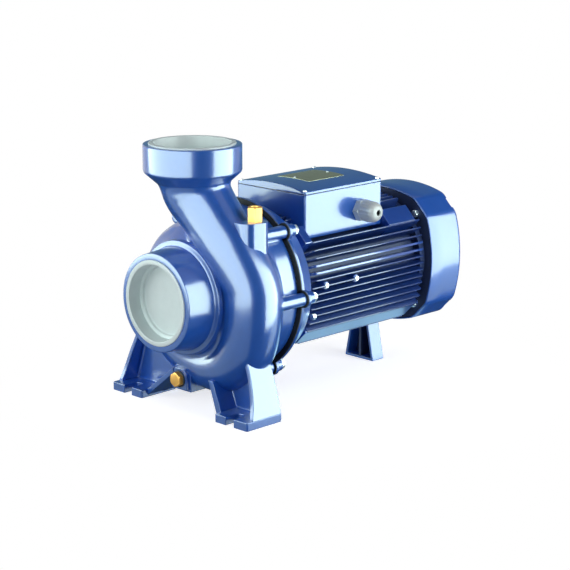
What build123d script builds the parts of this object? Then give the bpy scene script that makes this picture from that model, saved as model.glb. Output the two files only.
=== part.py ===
from build123d import *
import math
import os

# Close-coupled centrifugal pump with threaded ports and a finned electric motor.
# Millimetres. The shaft lies along X, the suction port faces -X and the fan end +X.
# Every piece is drawn at its station: the distance behind the suction face along the shaft.
# The finished pieces are then moved so that the origin is on the floor under the middle of the pump.

# Overall layout
shaft_height = 160.0
corner_angles = (45, 135, 225, 315)

# Ports, the same thread and collar on both
thread_d = 113.0
collar_d = 137.0
collar_root_d = 144.0
suction_length = 43.0
port_bore_depth = 34.0
port_chamfer = 1.5

# Casing: disc, drum and spiral tube
hub_ring_d = 159.6
hub_ring_width = 6.0
front_wall_start_d = 164.0
front_wall_end = 80.0
disc_d = 206.0
drum_start = 126.0
drum_d = 236.0
drum_end = 157.0
spiral_station = 88.0
spiral_start_reach = 104.0
spiral_end_reach = 139.0
spiral_start_tube_r = 22.0
spiral_end_tube_r = 39.0
spiral_start_angle = 120.0
spiral_end_angle = 375.0
spiral_steps = 9

# Discharge neck and collar
discharge_station = 71.0
discharge_top = 371.6
discharge_collar_d = 135.8
discharge_collar_height = 37.6
waist_height = 314.0
# neck sections from the spiral's end to the collar: station, across, height, radius
neck_rows = [
    (84.0, -70.0, 226.0, 41.5),
    (79.5, -47.5, 254.0, 41.5),
    (75.5, -22.0, 285.0, 43.0),
    (73.5, -8.5, 302.0, 45.8),
    (72.5, -4.0, 314.0, 48.3),
    (71.5, -1.5, 321.0, 52.3),
    (71.0, 0.0, 328.0, 62.4),
    (71.0, 0.0, 335.0, 67.7),
]

# Priming boss and plug, drain boss and plug
priming_station = 95.0
priming_offset = 97.0
priming_boss_d = 35.0
priming_web_station = 86.0
priming_web_offset = 94.0
priming_web_root = (68.3, 108.0, 60.0)  # first and last station, across
priming_boss_top = 274.0
priming_boss_depth = 62.0
plug_hex = 19.0
plug_head_height = 20.0
plug_thread_d = 16.0
plug_thread_length = 14.0
drain_offset = 9.0
drain_height = 41.0
drain_face_station = 49.0
drain_boss_width = 30.0
drain_boss_depth = 40.0
drain_boss_chamfer = 6.0
drain_head_height = 7.0
washer_thickness = 1.6
washer_d = 24.0

# Front feet
foot_front_station = 36.7
foot_length = 66.1
foot_outer = 140.0
foot_inner = 76.0
foot_plate = 12.0
foot_slot_width = 15.3
foot_slot_centre = 106.0
foot_slot_length = 25.0
foot_web_station = 78.0
foot_web = 7.0
foot_wall = 7.0
foot_wall_setback = 11.0
# outer wall from the floor up: height, how far its face leans in, how far its front edge leans back
foot_wall_rows = [
    (0.0, 0.0, 0.0),
    (12.0, 0.5, 0.0),
    (34.0, 6.0, 9.0),
    (72.0, 20.0, 14.0),
    (100.0, 30.0, 17.0),
]
# web: outer edge as height and distance inside the foot's side, inner edge as across and height
foot_web_rows = [(0.0, 3.0), (34.0, 8.0), (72.0, 22.0), (100.0, 32.0)]
foot_web_inner = [(30.0, 100.0), (26.0, 50.0)]
# inner rib of each foot in (across, height)
near_rib = [(77.0, 12.0), (60.5, 52.0), (52.0, 52.0), (70.0, 3.0), (77.0, 3.0)]
far_rib = [(77.0, 12.0), (20.0, 54.5), (20.0, 46.0), (77.0, 3.0)]

# Joint between the casing and the motor
gasket_thickness = 1.0
flange_rim = 5.0
flange_d = 250.0
flange_back_d = 222.0
flange_back = 190.0
bolt_seat_height = 11.0
bolt_seat_d = 18.0
bolt_circle_d = 252.0
bolt_angles = (45.0, 0.0, -60.0, 135.0, 180.0, 240.0)
bolt_boss_d = 19.0
bolt_lug_d = 25.0
bolt_d = 8.0
bolt_hex = 13.0
bolt_head = 6.5
bolt_grip = 16.0
bolt_hole_spare = 2.0
flange_neck_d = 190.0
frame_start = 205.0

# Motor frame
frame_length = 243.0
core_d = 152.0
fin_reach = 96.0
fin_thickness = 3.2
fin_pitch = 6.15
side_fins = 13
top_fins = 10
corner_flat_reach = 106.0
corner_flat_width = 30.0
corner_flat_end_gap = 9.0
pad_half_width = 60.0
pad_bottom = 70.0
pad_side_height = 20.0
pad_front = 221.0
frame_screw_d = 7.0
frame_screw_head = 3.0
frame_screw_boss_d = 10.0
frame_screw_boss_length = 16.0
frame_screw_stations = (238.7, 300.9)
frame_screw_reach = 93.0
frame_screw_sunk = 8.0
root_bite = 4.0  # how deep fins and rails are drawn into the core

# Fan end
shield_length = 16.0
shield_neck_d = 176.0
shield_neck = 10.0
tie_bolt_circle_d = 196.0
tie_bolt_d = 6.0
tie_bolt_hex = 10.0
tie_bolt_head = 5.0
cowl_start = 456.8
cowl_end = 525.4
cowl_half = 103.5
cowl_corner = 67.2
cowl_shoulder = 92.5
cowl_wall = 2.5
cowl_notch_width = 18.0
cowl_notch_length = 6.0
cowl_notch_depth = 7.0
grille_inner_d = 44.0
grille_pitch = 12.0
grille_slot = 5.0
grille_rings = 6
grille_bars = 8
grille_bar = 7.0
fan_d = 168.0
fan_width = 26.0
fan_hub_d = 46.0
fan_disc_d = 138.0
fan_disc = 3.0
fan_blades = 8
fan_blade = 3.0
fan_station = 484.0
shaft_d = 22.0
shaft_end = 517.0
shaft_clearance = 0.2

# Motor foot
motor_foot_front = 410.4
motor_foot_length = 24.1
motor_foot_half_base = 29.0
motor_foot_half_top = 15.0
motor_foot_wall = 4.0

# Terminal box
box_front = 219.5
box_length = 161.5
box_half_width = 69.0
box_bottom = 225.3
box_top = 288.4
box_wall = 4.0
box_corner_r = 4.0
box_gasket = 1.0
lid_edge = 3.0
lid_crown = 6.6
lid_screw_inset = 7.0
lid_screw_d = 5.0
lid_screw_head_d = 8.0
lid_screw_head = 1.6
lid_screw_depth = 10.0
lid_screw_post_d = 11.0
lid_seat_drop = 0.5
nameplate_length = 76.0
nameplate_width = 64.0
nameplate_thickness = 0.8
nameplate_station = 303.0
nameplate_recess = 0.5
gland_station = 334.5
gland_height = 252.5
gland_thread_d = 25.0
gland_hex = 29.0
gland_hex_length = 8.0
gland_thread_length = 7.0
gland_nut_d = 31.0
gland_nut_length = 25.0
gland_cable_d = 8.0
gland_nut_tip_d = 20.0
gland_nut_tip = 8.0
gland_bore_d = 14.0
gland_seal_sunk = 2.0

# Port plugs
cap_flange_d = 120.0
cap_flange = 2.0
cap_wall = 3.0
cap_depth = 24.0
cap_floor = 2.0

# Clearances
slip = 0.25
port_slip = 0.3
envelope_gap = 0.3

overall_middle = (cowl_end - cap_flange) / 2


def polar(angle, radius, station):
    """A point at an angle above the -Y side of the shaft."""
    across = -radius * math.cos(math.radians(angle))
    up = shaft_height + radius * math.sin(math.radians(angle))
    return Vector(station, across, up)


def rod(diameter, start, end, across=0.0, height=shaft_height):
    """A cylinder along the shaft direction."""
    length = end - start
    return Pos((start + end) / 2, across, height) * Rot(0, 90, 0) * Cylinder(diameter / 2, length)


def post(diameter, low, high, station, across):
    """An upright cylinder."""
    return Pos(station, across, (low + high) / 2) * Cylinder(diameter / 2, high - low)


def block(x0, x1, y0, y1, z0, z1):
    """A box between two corners."""
    return Pos((x0 + x1) / 2, (y0 + y1) / 2, (z0 + z1) / 2) * Box(x1 - x0, y1 - y0, z1 - z0)


def turned(points):
    """A solid of revolution about the shaft from (station, radius) points."""
    outline = Polyline(*[(station, radius, 0) for station, radius in points], close=True)
    solid = revolve(make_face(outline), axis=Axis.X, revolution_arc=360)
    return Pos(0, 0, shaft_height) * solid


def side_profile(points, start, end):
    """A prism along X from (across, height) points."""
    outline = Polyline(*[(start, across, height) for across, height in points], close=True)
    return extrude(make_face(outline), amount=end - start, dir=(1, 0, 0))


def hexagon_rod(across_flats, start, end, across, height):
    """A hexagonal bar along X."""
    plane = Plane((start, across, height), x_dir=(0, 1, 0), z_dir=(1, 0, 0))
    return extrude(plane * RegularPolygon(across_flats / 2, 6, major_radius=False), amount=end - start)


def hex_bolt(diameter, across_flats, head, grip, seat, across, height):
    """A bolt along X with its head behind the seat station and its shank ahead of it."""
    body = hexagon_rod(across_flats, seat, seat + head, across, height)
    return body + rod(diameter, seat - grip, seat, across, height)


def mirrored(solid):
    """The same piece on the other side of the shaft."""
    return mirror(solid, about=Plane.XZ)


def save(name, solid):
    """Move a finished piece into the pump's own frame and write it."""
    placed = Pos(-overall_middle, 0, 0) * solid
    export_step(placed, f"parts/{name}.step")


def spiral_section(angle):
    """Centre, direction and radius of the spiral tube at an angle above the -Y side."""
    share = (angle - spiral_start_angle) / (spiral_end_angle - spiral_start_angle)
    growth = min(1.0, share * 1.25)
    tube_r = spiral_start_tube_r + (spiral_end_tube_r - spiral_start_tube_r) * growth
    reach = spiral_start_reach + (spiral_end_reach - spiral_start_reach) * growth
    centre = polar(angle, reach - tube_r, spiral_station)
    direction = polar(angle + 1, reach - tube_r, spiral_station) - centre
    return centre, direction, tube_r


def spiral_and_neck():
    """One lofted tube: the spiral round the disc and the neck that it turns into."""
    turn = (spiral_end_angle - spiral_start_angle) / spiral_steps
    sections = [spiral_section(spiral_start_angle + turn * step) for step in range(spiral_steps + 1)]
    faces = []
    for centre, direction, radius in sections:
        faces.append(Plane(centre, x_dir=Vector(1, 0, 0), z_dir=direction) * Circle(radius))
    spine = [(Vector(station, across, height), radius) for station, across, height, radius in neck_rows]
    centres = [sections[-1][0]] + [centre for centre, radius in spine]
    centres.append(centres[-1] + Vector(0, 0, 1))
    for index, (centre, radius) in enumerate(spine, start=1):
        direction = centres[index + 1] - centres[index - 1]
        if centre.Z >= waist_height:
            direction = Vector(0, 0, 1)
        faces.append(Plane(centre, x_dir=Vector(1, 0, 0), z_dir=direction) * Circle(radius))
    return loft(faces)


def discharge_collar():
    """The upright threaded collar, before boring."""
    low = discharge_top - discharge_collar_height
    collar = post(discharge_collar_d, low, discharge_top, discharge_station, 0)
    return chamfer(collar.edges(), port_chamfer)


def casing_core():
    """The turned middle of the casing: suction collar, hub ring, front wall, disc and drum."""
    ring_end = suction_length + hub_ring_width
    return turned([
        (0, 0),
        (0, collar_d / 2 - port_chamfer),
        (port_chamfer, collar_d / 2),
        (suction_length, collar_root_d / 2),
        (suction_length, hub_ring_d / 2),
        (ring_end, front_wall_start_d / 2),
        (front_wall_end, disc_d / 2),
        (drum_start - 8, disc_d / 2),
        (drum_start, drum_d / 2),
        (drum_end, drum_d / 2),
        (drum_end, 0),
    ])


def front_foot(rib_outline):
    """A foot on the +Y side: slotted plate, outer wall, web and inner rib."""
    x0, x1 = foot_front_station, foot_front_station + foot_length
    wall_front, half = x0 + foot_wall_setback, foot_slot_width / 2
    plate = block(x0, x1, foot_inner, foot_outer, 0, foot_plate)
    slot_end = x0 + foot_slot_length - half
    slot = block(x0 - 1, slot_end, foot_slot_centre - half, foot_slot_centre + half, -1, foot_plate + 1)
    slot += post(foot_slot_width, -1, foot_plate + 1, slot_end, foot_slot_centre)
    outer = [(foot_outer - lean, height) for height, lean, back in foot_wall_rows]
    inner = [(across - foot_wall, height) for across, height in reversed(outer)]
    wall = side_profile(outer + inner, wall_front, x1) + side_profile(rib_outline, wall_front, x1)
    edge = [(wall_front + back, 0, height) for height, lean, back in foot_wall_rows[1:]]
    over = foot_wall_rows[-1][0] + 1
    edge += [(edge[-1][0], 0, over), (x0 - 1, 0, over), (x0 - 1, 0, foot_plate)]
    ahead = extrude(make_face(Polyline(*edge, close=True)), amount=foot_outer + 1, dir=(0, 1, 0))
    web = [(foot_outer - lean, height) for height, lean in foot_web_rows]
    web = [(foot_inner, 0)] + web + foot_web_inner
    web = side_profile(web, foot_web_station, foot_web_station + foot_web)
    return plate + web + (wall - ahead) - slot


def priming_boss():
    """The upright boss of the priming plug, drawn out round a web towards the neck."""
    first, last, across = priming_web_root
    outline = make_hull([
        Pos(priming_station, -priming_offset) * Edge.make_circle(priming_boss_d / 2),
        Pos(priming_web_station, -priming_web_offset) * Edge.make_circle(priming_boss_d / 2),
        Edge.make_line((first, -across), (last, -across)),
    ])
    return Pos(0, 0, priming_boss_top - priming_boss_depth) * extrude(outline, amount=priming_boss_depth)


def drain_boss():
    """The block under the suction collar that carries the drain plug."""
    half, cut = drain_boss_width / 2, drain_boss_chamfer
    low, high = drain_height - half, drain_height + half
    y0, y1 = drain_offset - half, drain_offset + half
    outline = [(y0, low), (y1, low), (y1, high - cut), (y1 - cut, high), (y0 + cut, high), (y0, high - cut)]
    return side_profile(outline, drain_face_station, drain_face_station + drain_boss_depth)


def flange_outline(diameter, lug_d, start, end):
    """The round joint face with a lug at each bolt."""
    solid = rod(diameter, start, end)
    for angle in bolt_angles:
        at = polar(angle, bolt_circle_d / 2, start)
        solid += rod(lug_d, start, end, at.Y, at.Z)
    return solid


def pump_casing():
    """The whole casting with its ports bored and its screw holes drilled."""
    body = casing_core() + spiral_and_neck()
    body += discharge_collar() + priming_boss() + drain_boss()
    for angle in bolt_angles:
        at = polar(angle, bolt_circle_d / 2, drum_start)
        body += rod(bolt_boss_d, drum_start - 2, drum_end, at.Y, at.Z)
    body += front_foot(far_rib)
    body += mirrored(front_foot(near_rib))
    body -= rod(thread_d, -1, port_bore_depth)
    body -= post(thread_d, discharge_top - port_bore_depth, discharge_top + 1, discharge_station, 0)
    body -= post(plug_thread_d + 2 * slip, priming_boss_top - plug_thread_length - bolt_hole_spare,
                 priming_boss_top + 1, priming_station, -priming_offset)
    corner_d = plug_hex / math.cos(math.radians(30)) + 2 * slip
    body -= post(corner_d, priming_boss_top, priming_boss_top + plug_head_height,
                 priming_station, -priming_offset)
    body -= rod(plug_thread_d + 2 * slip, drain_face_station - 1,
                drain_face_station + plug_thread_length + bolt_hole_spare, drain_offset, drain_height)
    for angle in bolt_angles:
        at = polar(angle, bolt_circle_d / 2, drum_end)
        body -= rod(bolt_d + 2 * slip, drum_end - bolt_grip, drum_end + 1, at.Y, at.Z)
    return body


def port_cap():
    """A thin cup with a rim, its axis on Z and its seat at Z = 0."""
    outer_r = thread_d / 2 - port_slip
    cap = Pos(0, 0, cap_flange / 2) * Cylinder(cap_flange_d / 2, cap_flange)
    cap += Pos(0, 0, -cap_depth / 2) * Cylinder(outer_r, cap_depth)
    hollow = cap_depth + cap_flange - cap_floor
    cap -= Pos(0, 0, cap_flange + 1 - (hollow + 1) / 2) * Cylinder(outer_r - cap_wall, hollow + 1)
    return cap


def frame_reach(angle):
    """How far a fin's tip lies from the shaft at an angle, under the cowl's bulged side."""
    bulge = cowl_half - cowl_shoulder
    bulge_r = (cowl_corner ** 2 + bulge ** 2) / (2 * bulge)
    folded = math.radians(abs((angle + 45) % 90 - 45))
    drop = fin_reach * math.tan(folded)
    flat = fin_reach - bulge_r + math.sqrt(bulge_r ** 2 - drop ** 2)
    return flat / math.cos(folded)


def fin(angle):
    """One cooling fin standing out from the core."""
    low, high = core_d / 2 - root_bite, frame_reach(angle)
    slab = block(frame_start, frame_start + frame_length, low, high, -fin_thickness / 2, fin_thickness / 2)
    return Pos(0, 0, shaft_height) * Rot(angle, 0, 0) * slab


def motor_frame():
    """The finned stator housing with its corner flats, top seat and bottom pad."""
    end, gap = frame_start + frame_length, envelope_gap
    body = rod(core_d - 2, frame_start, end)
    for count in range(side_fins):
        angle = (count - (side_fins - 1) / 2) * fin_pitch
        body += fin(angle)
        body += fin(180 + angle)
    for count in range(top_fins):
        body += fin(90 + (count - (top_fins - 1) / 2) * fin_pitch)
    half, flat_end = corner_flat_width / 2, end - corner_flat_end_gap
    box_rear = box_front + box_length
    for angle in corner_angles:
        spans = [(frame_start, flat_end)]
        if angle < 180:
            spans = [(frame_start, box_front - gap), (box_rear + gap, flat_end)]
        for x0, x1 in spans:
            rail = block(x0, x1, core_d / 2 - 2 * root_bite, corner_flat_reach, -half, half)
            body += Pos(0, 0, shaft_height) * Rot(angle, 0, 0) * rail
    body -= block(box_front - gap, box_rear + gap, -cowl_half, cowl_half, box_bottom - gap, box_top)
    body += rod(core_d, frame_start, end)
    body += block(pad_front, end, -pad_half_width, pad_half_width, pad_bottom, pad_bottom + pad_side_height)
    for station in frame_screw_stations:
        boss = Rot(90, 0, 0) * Cylinder(frame_screw_boss_d / 2, frame_screw_boss_length)
        body -= Pos(station, -frame_screw_reach - frame_screw_boss_length / 2, shaft_height) * boss
        body += Pos(station, frame_screw_sunk - frame_screw_reach, shaft_height) * boss
    return body


def cowl_section(inset):
    """The cowl's rounded square with 45 degree corners, in (across, height)."""
    s, c, h = cowl_shoulder - inset, cowl_corner - inset * 0.414, cowl_half - inset
    with BuildLine() as line:
        ThreePointArc((s, -c), (h, 0), (s, c))
        Line((s, c), (c, s))
        ThreePointArc((c, s), (0, h), (-c, s))
        Line((-c, s), (-s, c))
        ThreePointArc((-s, c), (-h, 0), (-s, -c))
        Line((-s, -c), (-c, -s))
        ThreePointArc((-c, -s), (0, -h), (c, -s))
        Line((c, -s), (s, -c))
    return make_face(line.line)


def cowl_prism(inset, start, end):
    """The cowl's section drawn out along the shaft."""
    plane = Plane((start, 0, shaft_height), x_dir=(0, 1, 0), z_dir=(1, 0, 0))
    return extrude(plane * cowl_section(inset), amount=end - start)


def fan_cowl():
    """The pressed sheet cowl with ring slots in its end and a notch at each corner."""
    shell = cowl_prism(0, cowl_start, cowl_end) - cowl_prism(cowl_wall, cowl_start - 1, cowl_end - cowl_wall)
    slots = None
    for ring in range(grille_rings):
        inner = grille_inner_d / 2 + ring * grille_pitch
        band = rod(2 * (inner + grille_slot), cowl_end - cowl_wall - 1, cowl_end + 1)
        band -= rod(2 * inner, cowl_end - cowl_wall - 2, cowl_end + 2)
        slots = band if slots is None else slots + band
    for bar in range(grille_bars // 2):
        beam = block(cowl_end - cowl_wall - 3, cowl_end + 3, -cowl_half, cowl_half, -grille_bar / 2,
                     grille_bar / 2)
        slots -= Pos(0, 0, shaft_height) * Rot(bar * 360 / grille_bars, 0, 0) * beam
    shell -= slots
    reach = (cowl_shoulder + cowl_corner) / math.sqrt(2)
    half = cowl_notch_width / 2
    low = reach - cowl_notch_depth
    for angle in corner_angles:
        turn = Pos(0, 0, shaft_height) * Rot(angle, 0, 0)
        shell += turn * block(cowl_end - cowl_notch_length - cowl_wall, cowl_end, low - cowl_wall,
                              reach - 0.5, -half - cowl_wall, half + cowl_wall)
        shell -= turn * block(cowl_end - cowl_notch_length, cowl_end + 1, low, reach + 2, -half, half)
    return shell


def rear_end_shield():
    """The bearing shield behind the frame: a round neck, then the plate that fills the cowl's mouth."""
    start = frame_start + frame_length
    seat, end = start + shield_neck, start + shield_length
    body = rod(shield_neck_d, start, seat) + cowl_prism(cowl_wall + envelope_gap, seat, end)
    for angle in corner_angles:
        at = polar(angle, tie_bolt_circle_d / 2, seat)
        body -= rod(tie_bolt_d + 2 * slip, seat - 1, end + 1, at.Y, at.Z)
    return body - rod(shaft_d + 2 * shaft_clearance, start - 1, end + 1)


def cooling_fan():
    """A hub with straight blades and a back disc."""
    end = fan_station + fan_width
    body = rod(fan_hub_d, fan_station, end) + rod(fan_disc_d, fan_station, fan_station + fan_disc)
    for blade in range(fan_blades):
        slab = block(fan_station, end, fan_hub_d / 2 - fan_blade, fan_d / 2, -fan_blade / 2, fan_blade / 2)
        body += Pos(0, 0, shaft_height) * Rot(blade * 360 / fan_blades, 0, 0) * slab
    return body - rod(shaft_d + 2 * shaft_clearance, fan_station - 1, end + 1)


def motor_flange():
    """The joint flange with its lugs, necked down to the frame."""
    start = drum_end + gasket_thickness
    rim = start + flange_rim
    face = rim + bolt_seat_height
    body = turned([(start, 0), (start, flange_d / 2), (rim, flange_d / 2),
                   (flange_back, flange_back_d / 2), (flange_back, flange_neck_d / 2),
                   (frame_start, flange_neck_d / 2), (frame_start, 0)])
    for angle in bolt_angles:
        at = polar(angle, bolt_circle_d / 2, start)
        body += rod(bolt_lug_d, start, rim, at.Y, at.Z)
        body += rod(bolt_seat_d, rim, face, at.Y, at.Z)
        body -= rod(bolt_d + 2 * slip, start - 1, face + 1, at.Y, at.Z)
        body -= rod(bolt_seat_d, face, frame_start, at.Y, at.Z)
    return body


def casing_gasket():
    """The thin dark gasket between casing and flange."""
    body = flange_outline(drum_d, bolt_boss_d, drum_end, drum_end + gasket_thickness)
    for angle in bolt_angles:
        at = polar(angle, bolt_circle_d / 2, drum_end)
        body -= rod(bolt_d + 2 * slip, drum_end - 1, drum_end + gasket_thickness + 1, at.Y, at.Z)
    return body


def motor_foot():
    """The fan end support: a channel open to the front with one upright rib."""
    x0, x1 = motor_foot_front, motor_foot_front + motor_foot_length
    wide, narrow, wall = motor_foot_half_base, motor_foot_half_top, motor_foot_wall
    body = side_profile([(-wide, 0), (wide, 0), (narrow, pad_bottom), (-narrow, pad_bottom)], x0, x1)
    low, high = wall, pad_bottom - wall
    slope = (wide - narrow) / pad_bottom
    w0, w1 = wide - slope * low - wall, wide - slope * high - wall
    body -= side_profile([(-w0, low), (w0, low), (w1, high), (-w1, high)], x0 - 1, x1 - wall)
    body += block(x0 + 1, x1, -wall / 2, wall / 2, wall / 2, pad_bottom - wall / 2)
    return body


def lid_solid(low, edge, crown, inset):
    """A slab with a crowned top over the terminal box, its curve across the shaft."""
    half = box_half_width - inset
    with BuildLine() as line:
        Polyline((-half, low), (half, low), (half, low + edge))
        ThreePointArc((half, low + edge), (0, low + edge + crown), (-half, low + edge))
        Line((-half, low + edge), (-half, low))
    plane = Plane((box_front + inset, 0, 0), x_dir=(0, 1, 0), z_dir=(1, 0, 0))
    slab = extrude(plane * make_face(line.line), amount=box_length - 2 * inset)
    return fillet(slab.edges().filter_by(Axis.Z), box_corner_r)


def terminal_box():
    """The junction box shell that sits over the top of the frame."""
    x0, x1 = box_front, box_front + box_length
    outer = block(x0, x1, -box_half_width, box_half_width, box_bottom, box_top)
    outer = fillet(outer.edges().filter_by(Axis.Z), box_corner_r)
    w = box_wall
    saddle_d = core_d + 2 * envelope_gap
    hollow = block(x0 + w, x1 - w, w - box_half_width, box_half_width - w, box_bottom + w, box_top + 1)
    hollow -= rod(saddle_d + 2 * w, x0, x1)
    body = outer - hollow - rod(saddle_d, x0 - 1, x1 + 1)
    for x in (x0 + lid_screw_inset, x1 - lid_screw_inset):
        for side in (-1, 1):
            y = side * (box_half_width - lid_screw_inset)
            body += post(lid_screw_post_d, box_bottom + 1, box_top, x, y)
            bottom = box_top - lid_screw_depth - bolt_hole_spare
            body -= post(lid_screw_d + 2 * slip, bottom, box_top + 1, x, y)
    return body - gland_rod(gland_thread_d + 2 * slip, -2 * w, w)


def lid_screw_places():
    """Where the four lid screws stand."""
    for x in (box_front + lid_screw_inset, box_front + box_length - lid_screw_inset):
        for side in (-1, 1):
            yield x, side * (box_half_width - lid_screw_inset)


def terminal_box_lid():
    """The crowned lid with its screw holes and nameplate recess."""
    body = lid_solid(box_top + box_gasket, lid_edge, lid_crown, 0)
    for x, y in lid_screw_places():
        body -= post(lid_screw_d + 2 * slip, box_top, lid_seat() + 1, x, y)
        body -= post(lid_screw_head_d + 2 * slip, lid_seat(), lid_seat() + 2 * lid_crown, x, y)
    return body - nameplate_prism(nameplate_recess, nameplate_thickness, slip)


def lid_seat():
    """Height of the flat under the lid screws' heads."""
    return box_top + box_gasket + lid_edge - lid_seat_drop


def lid_crown_radius():
    """Radius of the lid's crowned top."""
    half = box_half_width
    return (half ** 2 + lid_crown ** 2) / (2 * lid_crown)


def nameplate_prism(depth, proud, gap):
    """A bent strip of the lid's top for the nameplate: so deep, so proud, and with a gap round it."""
    r = lid_crown_radius()
    top = box_top + box_gasket + lid_edge + lid_crown
    x0 = nameplate_station - nameplate_length / 2 - gap
    x1 = nameplate_station + nameplate_length / 2 + gap
    ring = rod(2 * (r + proud), x0, x1, 0, top - r) - rod(2 * (r - depth), x0, x1, 0, top - r)
    half = nameplate_width / 2 + gap
    return ring & block(x0, x1, -half, half, top - 2 * lid_crown, top + 2 * lid_crown)


def gland_rod(diameter, start, end):
    """A cylinder along -Y at the gland, between two distances out from the box side."""
    middle = -box_half_width - (start + end) / 2
    return Pos(gland_station, middle, gland_height) * Rot(90, 0, 0) * Cylinder(diameter / 2, end - start)


def gland_body():
    """The hexagon base with its thread through the box wall."""
    plane = Plane((gland_station, -box_half_width, gland_height), x_dir=(0, 0, 1), z_dir=(0, -1, 0))
    body = extrude(plane * RegularPolygon(gland_hex / 2, 6, major_radius=False), amount=gland_hex_length)
    body += gland_rod(gland_thread_d, -gland_thread_length, 0)
    return body - gland_rod(gland_bore_d, -gland_thread_length - 1, gland_hex_length + 1)


def gland_nut():
    """The domed nut that squeezes the seal."""
    end = gland_hex_length + gland_nut_length
    tip = end - gland_nut_tip
    body = gland_rod(gland_nut_d, gland_hex_length, tip)
    plane = Plane((gland_station, -box_half_width - tip, gland_height), z_dir=(0, -1, 0))
    body += loft([plane * Circle(gland_nut_d / 2), plane.offset(gland_nut_tip) * Circle(gland_nut_tip_d / 2)])
    return body - gland_rod(gland_bore_d, gland_hex_length - 1, end + 1)


def gland_seal():
    """The rubber ring inside the nut, with the open cable hole."""
    end = gland_hex_length + gland_nut_length - gland_seal_sunk
    ring = gland_rod(gland_bore_d - 2 * slip, gland_hex_length, end)
    return ring - gland_rod(gland_cable_d, gland_hex_length - 1, end + 1)


os.makedirs("parts", exist_ok=True)

save("pump_casing", pump_casing())
save("suction_port_plug", Pos(0, 0, shaft_height) * Rot(0, -90, 0) * port_cap())
save("discharge_port_plug", Pos(discharge_station, 0, discharge_top) * port_cap())

plug_plane = Plane((priming_station, -priming_offset, priming_boss_top))
priming = extrude(plug_plane * RegularPolygon(plug_hex / 2, 6, major_radius=False), amount=plug_head_height)
priming += post(plug_thread_d, priming_boss_top - plug_thread_length, priming_boss_top,
                priming_station, -priming_offset)
save("priming_plug", priming)

washer_face = drain_face_station - washer_thickness
drain = hexagon_rod(plug_hex, washer_face - drain_head_height, washer_face, drain_offset, drain_height)
drain += rod(plug_thread_d, washer_face, washer_face + plug_thread_length, drain_offset, drain_height)
save("drain_plug", drain)
washer = rod(washer_d, washer_face, drain_face_station, drain_offset, drain_height)
washer -= rod(plug_thread_d + 2 * slip, washer_face - 1, drain_face_station + 1, drain_offset, drain_height)
save("drain_plug_washer", washer)

save("casing_gasket", casing_gasket())
save("motor_flange", motor_flange())
bolt_seat = drum_end + gasket_thickness + flange_rim + bolt_seat_height
for number, angle in enumerate(bolt_angles, start=1):
    at = polar(angle, bolt_circle_d / 2, bolt_seat)
    shank = bolt_seat - drum_end + bolt_grip - bolt_hole_spare
    save(f"flange_bolt_{number}", hex_bolt(bolt_d, bolt_hex, bolt_head, shank, bolt_seat, at.Y, at.Z))

save("motor_frame", motor_frame())
save("rear_end_shield", rear_end_shield())
for number, angle in enumerate(corner_angles, start=1):
    seat = frame_start + frame_length + shield_neck
    end = frame_start + frame_length + shield_length
    at = polar(angle, tie_bolt_circle_d / 2, seat)
    bolt = hexagon_rod(tie_bolt_hex, seat - tie_bolt_head, seat, at.Y, at.Z)
    save(f"tie_bolt_{number}", bolt + rod(tie_bolt_d, seat, end, at.Y, at.Z))
save("fan_cowl", fan_cowl())
save("cooling_fan", cooling_fan())
save("motor_shaft", rod(shaft_d, frame_start + frame_length, shaft_end))
save("motor_foot", motor_foot())
save("terminal_box", terminal_box())
gasket = block(box_front + 1, box_front + box_length - 1, 1 - box_half_width, box_half_width - 1,
               box_top, box_top + box_gasket)
gasket -= block(box_front + box_wall, box_front + box_length - box_wall, box_wall - box_half_width,
                box_half_width - box_wall, box_top - 1, box_top + box_gasket + 1)
for x, y in lid_screw_places():
    gasket -= post(lid_screw_d + 2 * slip, box_top - 1, box_top + 2, x, y)
save("terminal_box_gasket", gasket)
save("terminal_box_lid", terminal_box_lid())
screws = []
for x, y in lid_screw_places():
    screw = post(lid_screw_head_d, lid_seat(), lid_seat() + lid_screw_head, x, y)
    screws.append(screw + post(lid_screw_d, box_top - lid_screw_depth, lid_seat(), x, y))
save("lid_screws", Compound(children=screws))
save("nameplate", nameplate_prism(nameplate_recess, nameplate_thickness - nameplate_recess, 0))
save("gland_body", gland_body())
save("gland_nut", gland_nut())
save("gland_seal", gland_seal())
heads = []
for station in frame_screw_stations:
    head = Pos(station, -frame_screw_reach - frame_screw_head / 2, shaft_height) * Rot(90, 0, 0)
    heads.append(head * Cylinder(frame_screw_d / 2, frame_screw_head))
save("frame_screws", Compound(children=heads))
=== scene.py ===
import math

import bmesh
import bpy
import numpy as np
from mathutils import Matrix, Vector


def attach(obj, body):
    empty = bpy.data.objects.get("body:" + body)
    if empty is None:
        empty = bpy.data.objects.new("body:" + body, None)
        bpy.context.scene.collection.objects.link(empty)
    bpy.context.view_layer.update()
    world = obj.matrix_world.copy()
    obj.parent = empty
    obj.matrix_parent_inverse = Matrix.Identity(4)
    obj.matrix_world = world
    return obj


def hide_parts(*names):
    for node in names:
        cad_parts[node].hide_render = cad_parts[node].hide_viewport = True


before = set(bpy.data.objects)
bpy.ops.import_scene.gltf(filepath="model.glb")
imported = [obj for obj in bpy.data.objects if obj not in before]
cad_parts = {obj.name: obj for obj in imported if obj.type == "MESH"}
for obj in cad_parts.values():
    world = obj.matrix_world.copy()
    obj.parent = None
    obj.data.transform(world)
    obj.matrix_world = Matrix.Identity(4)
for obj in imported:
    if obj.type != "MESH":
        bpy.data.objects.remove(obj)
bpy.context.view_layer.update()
print("frame:", len(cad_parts), "solids")

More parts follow.
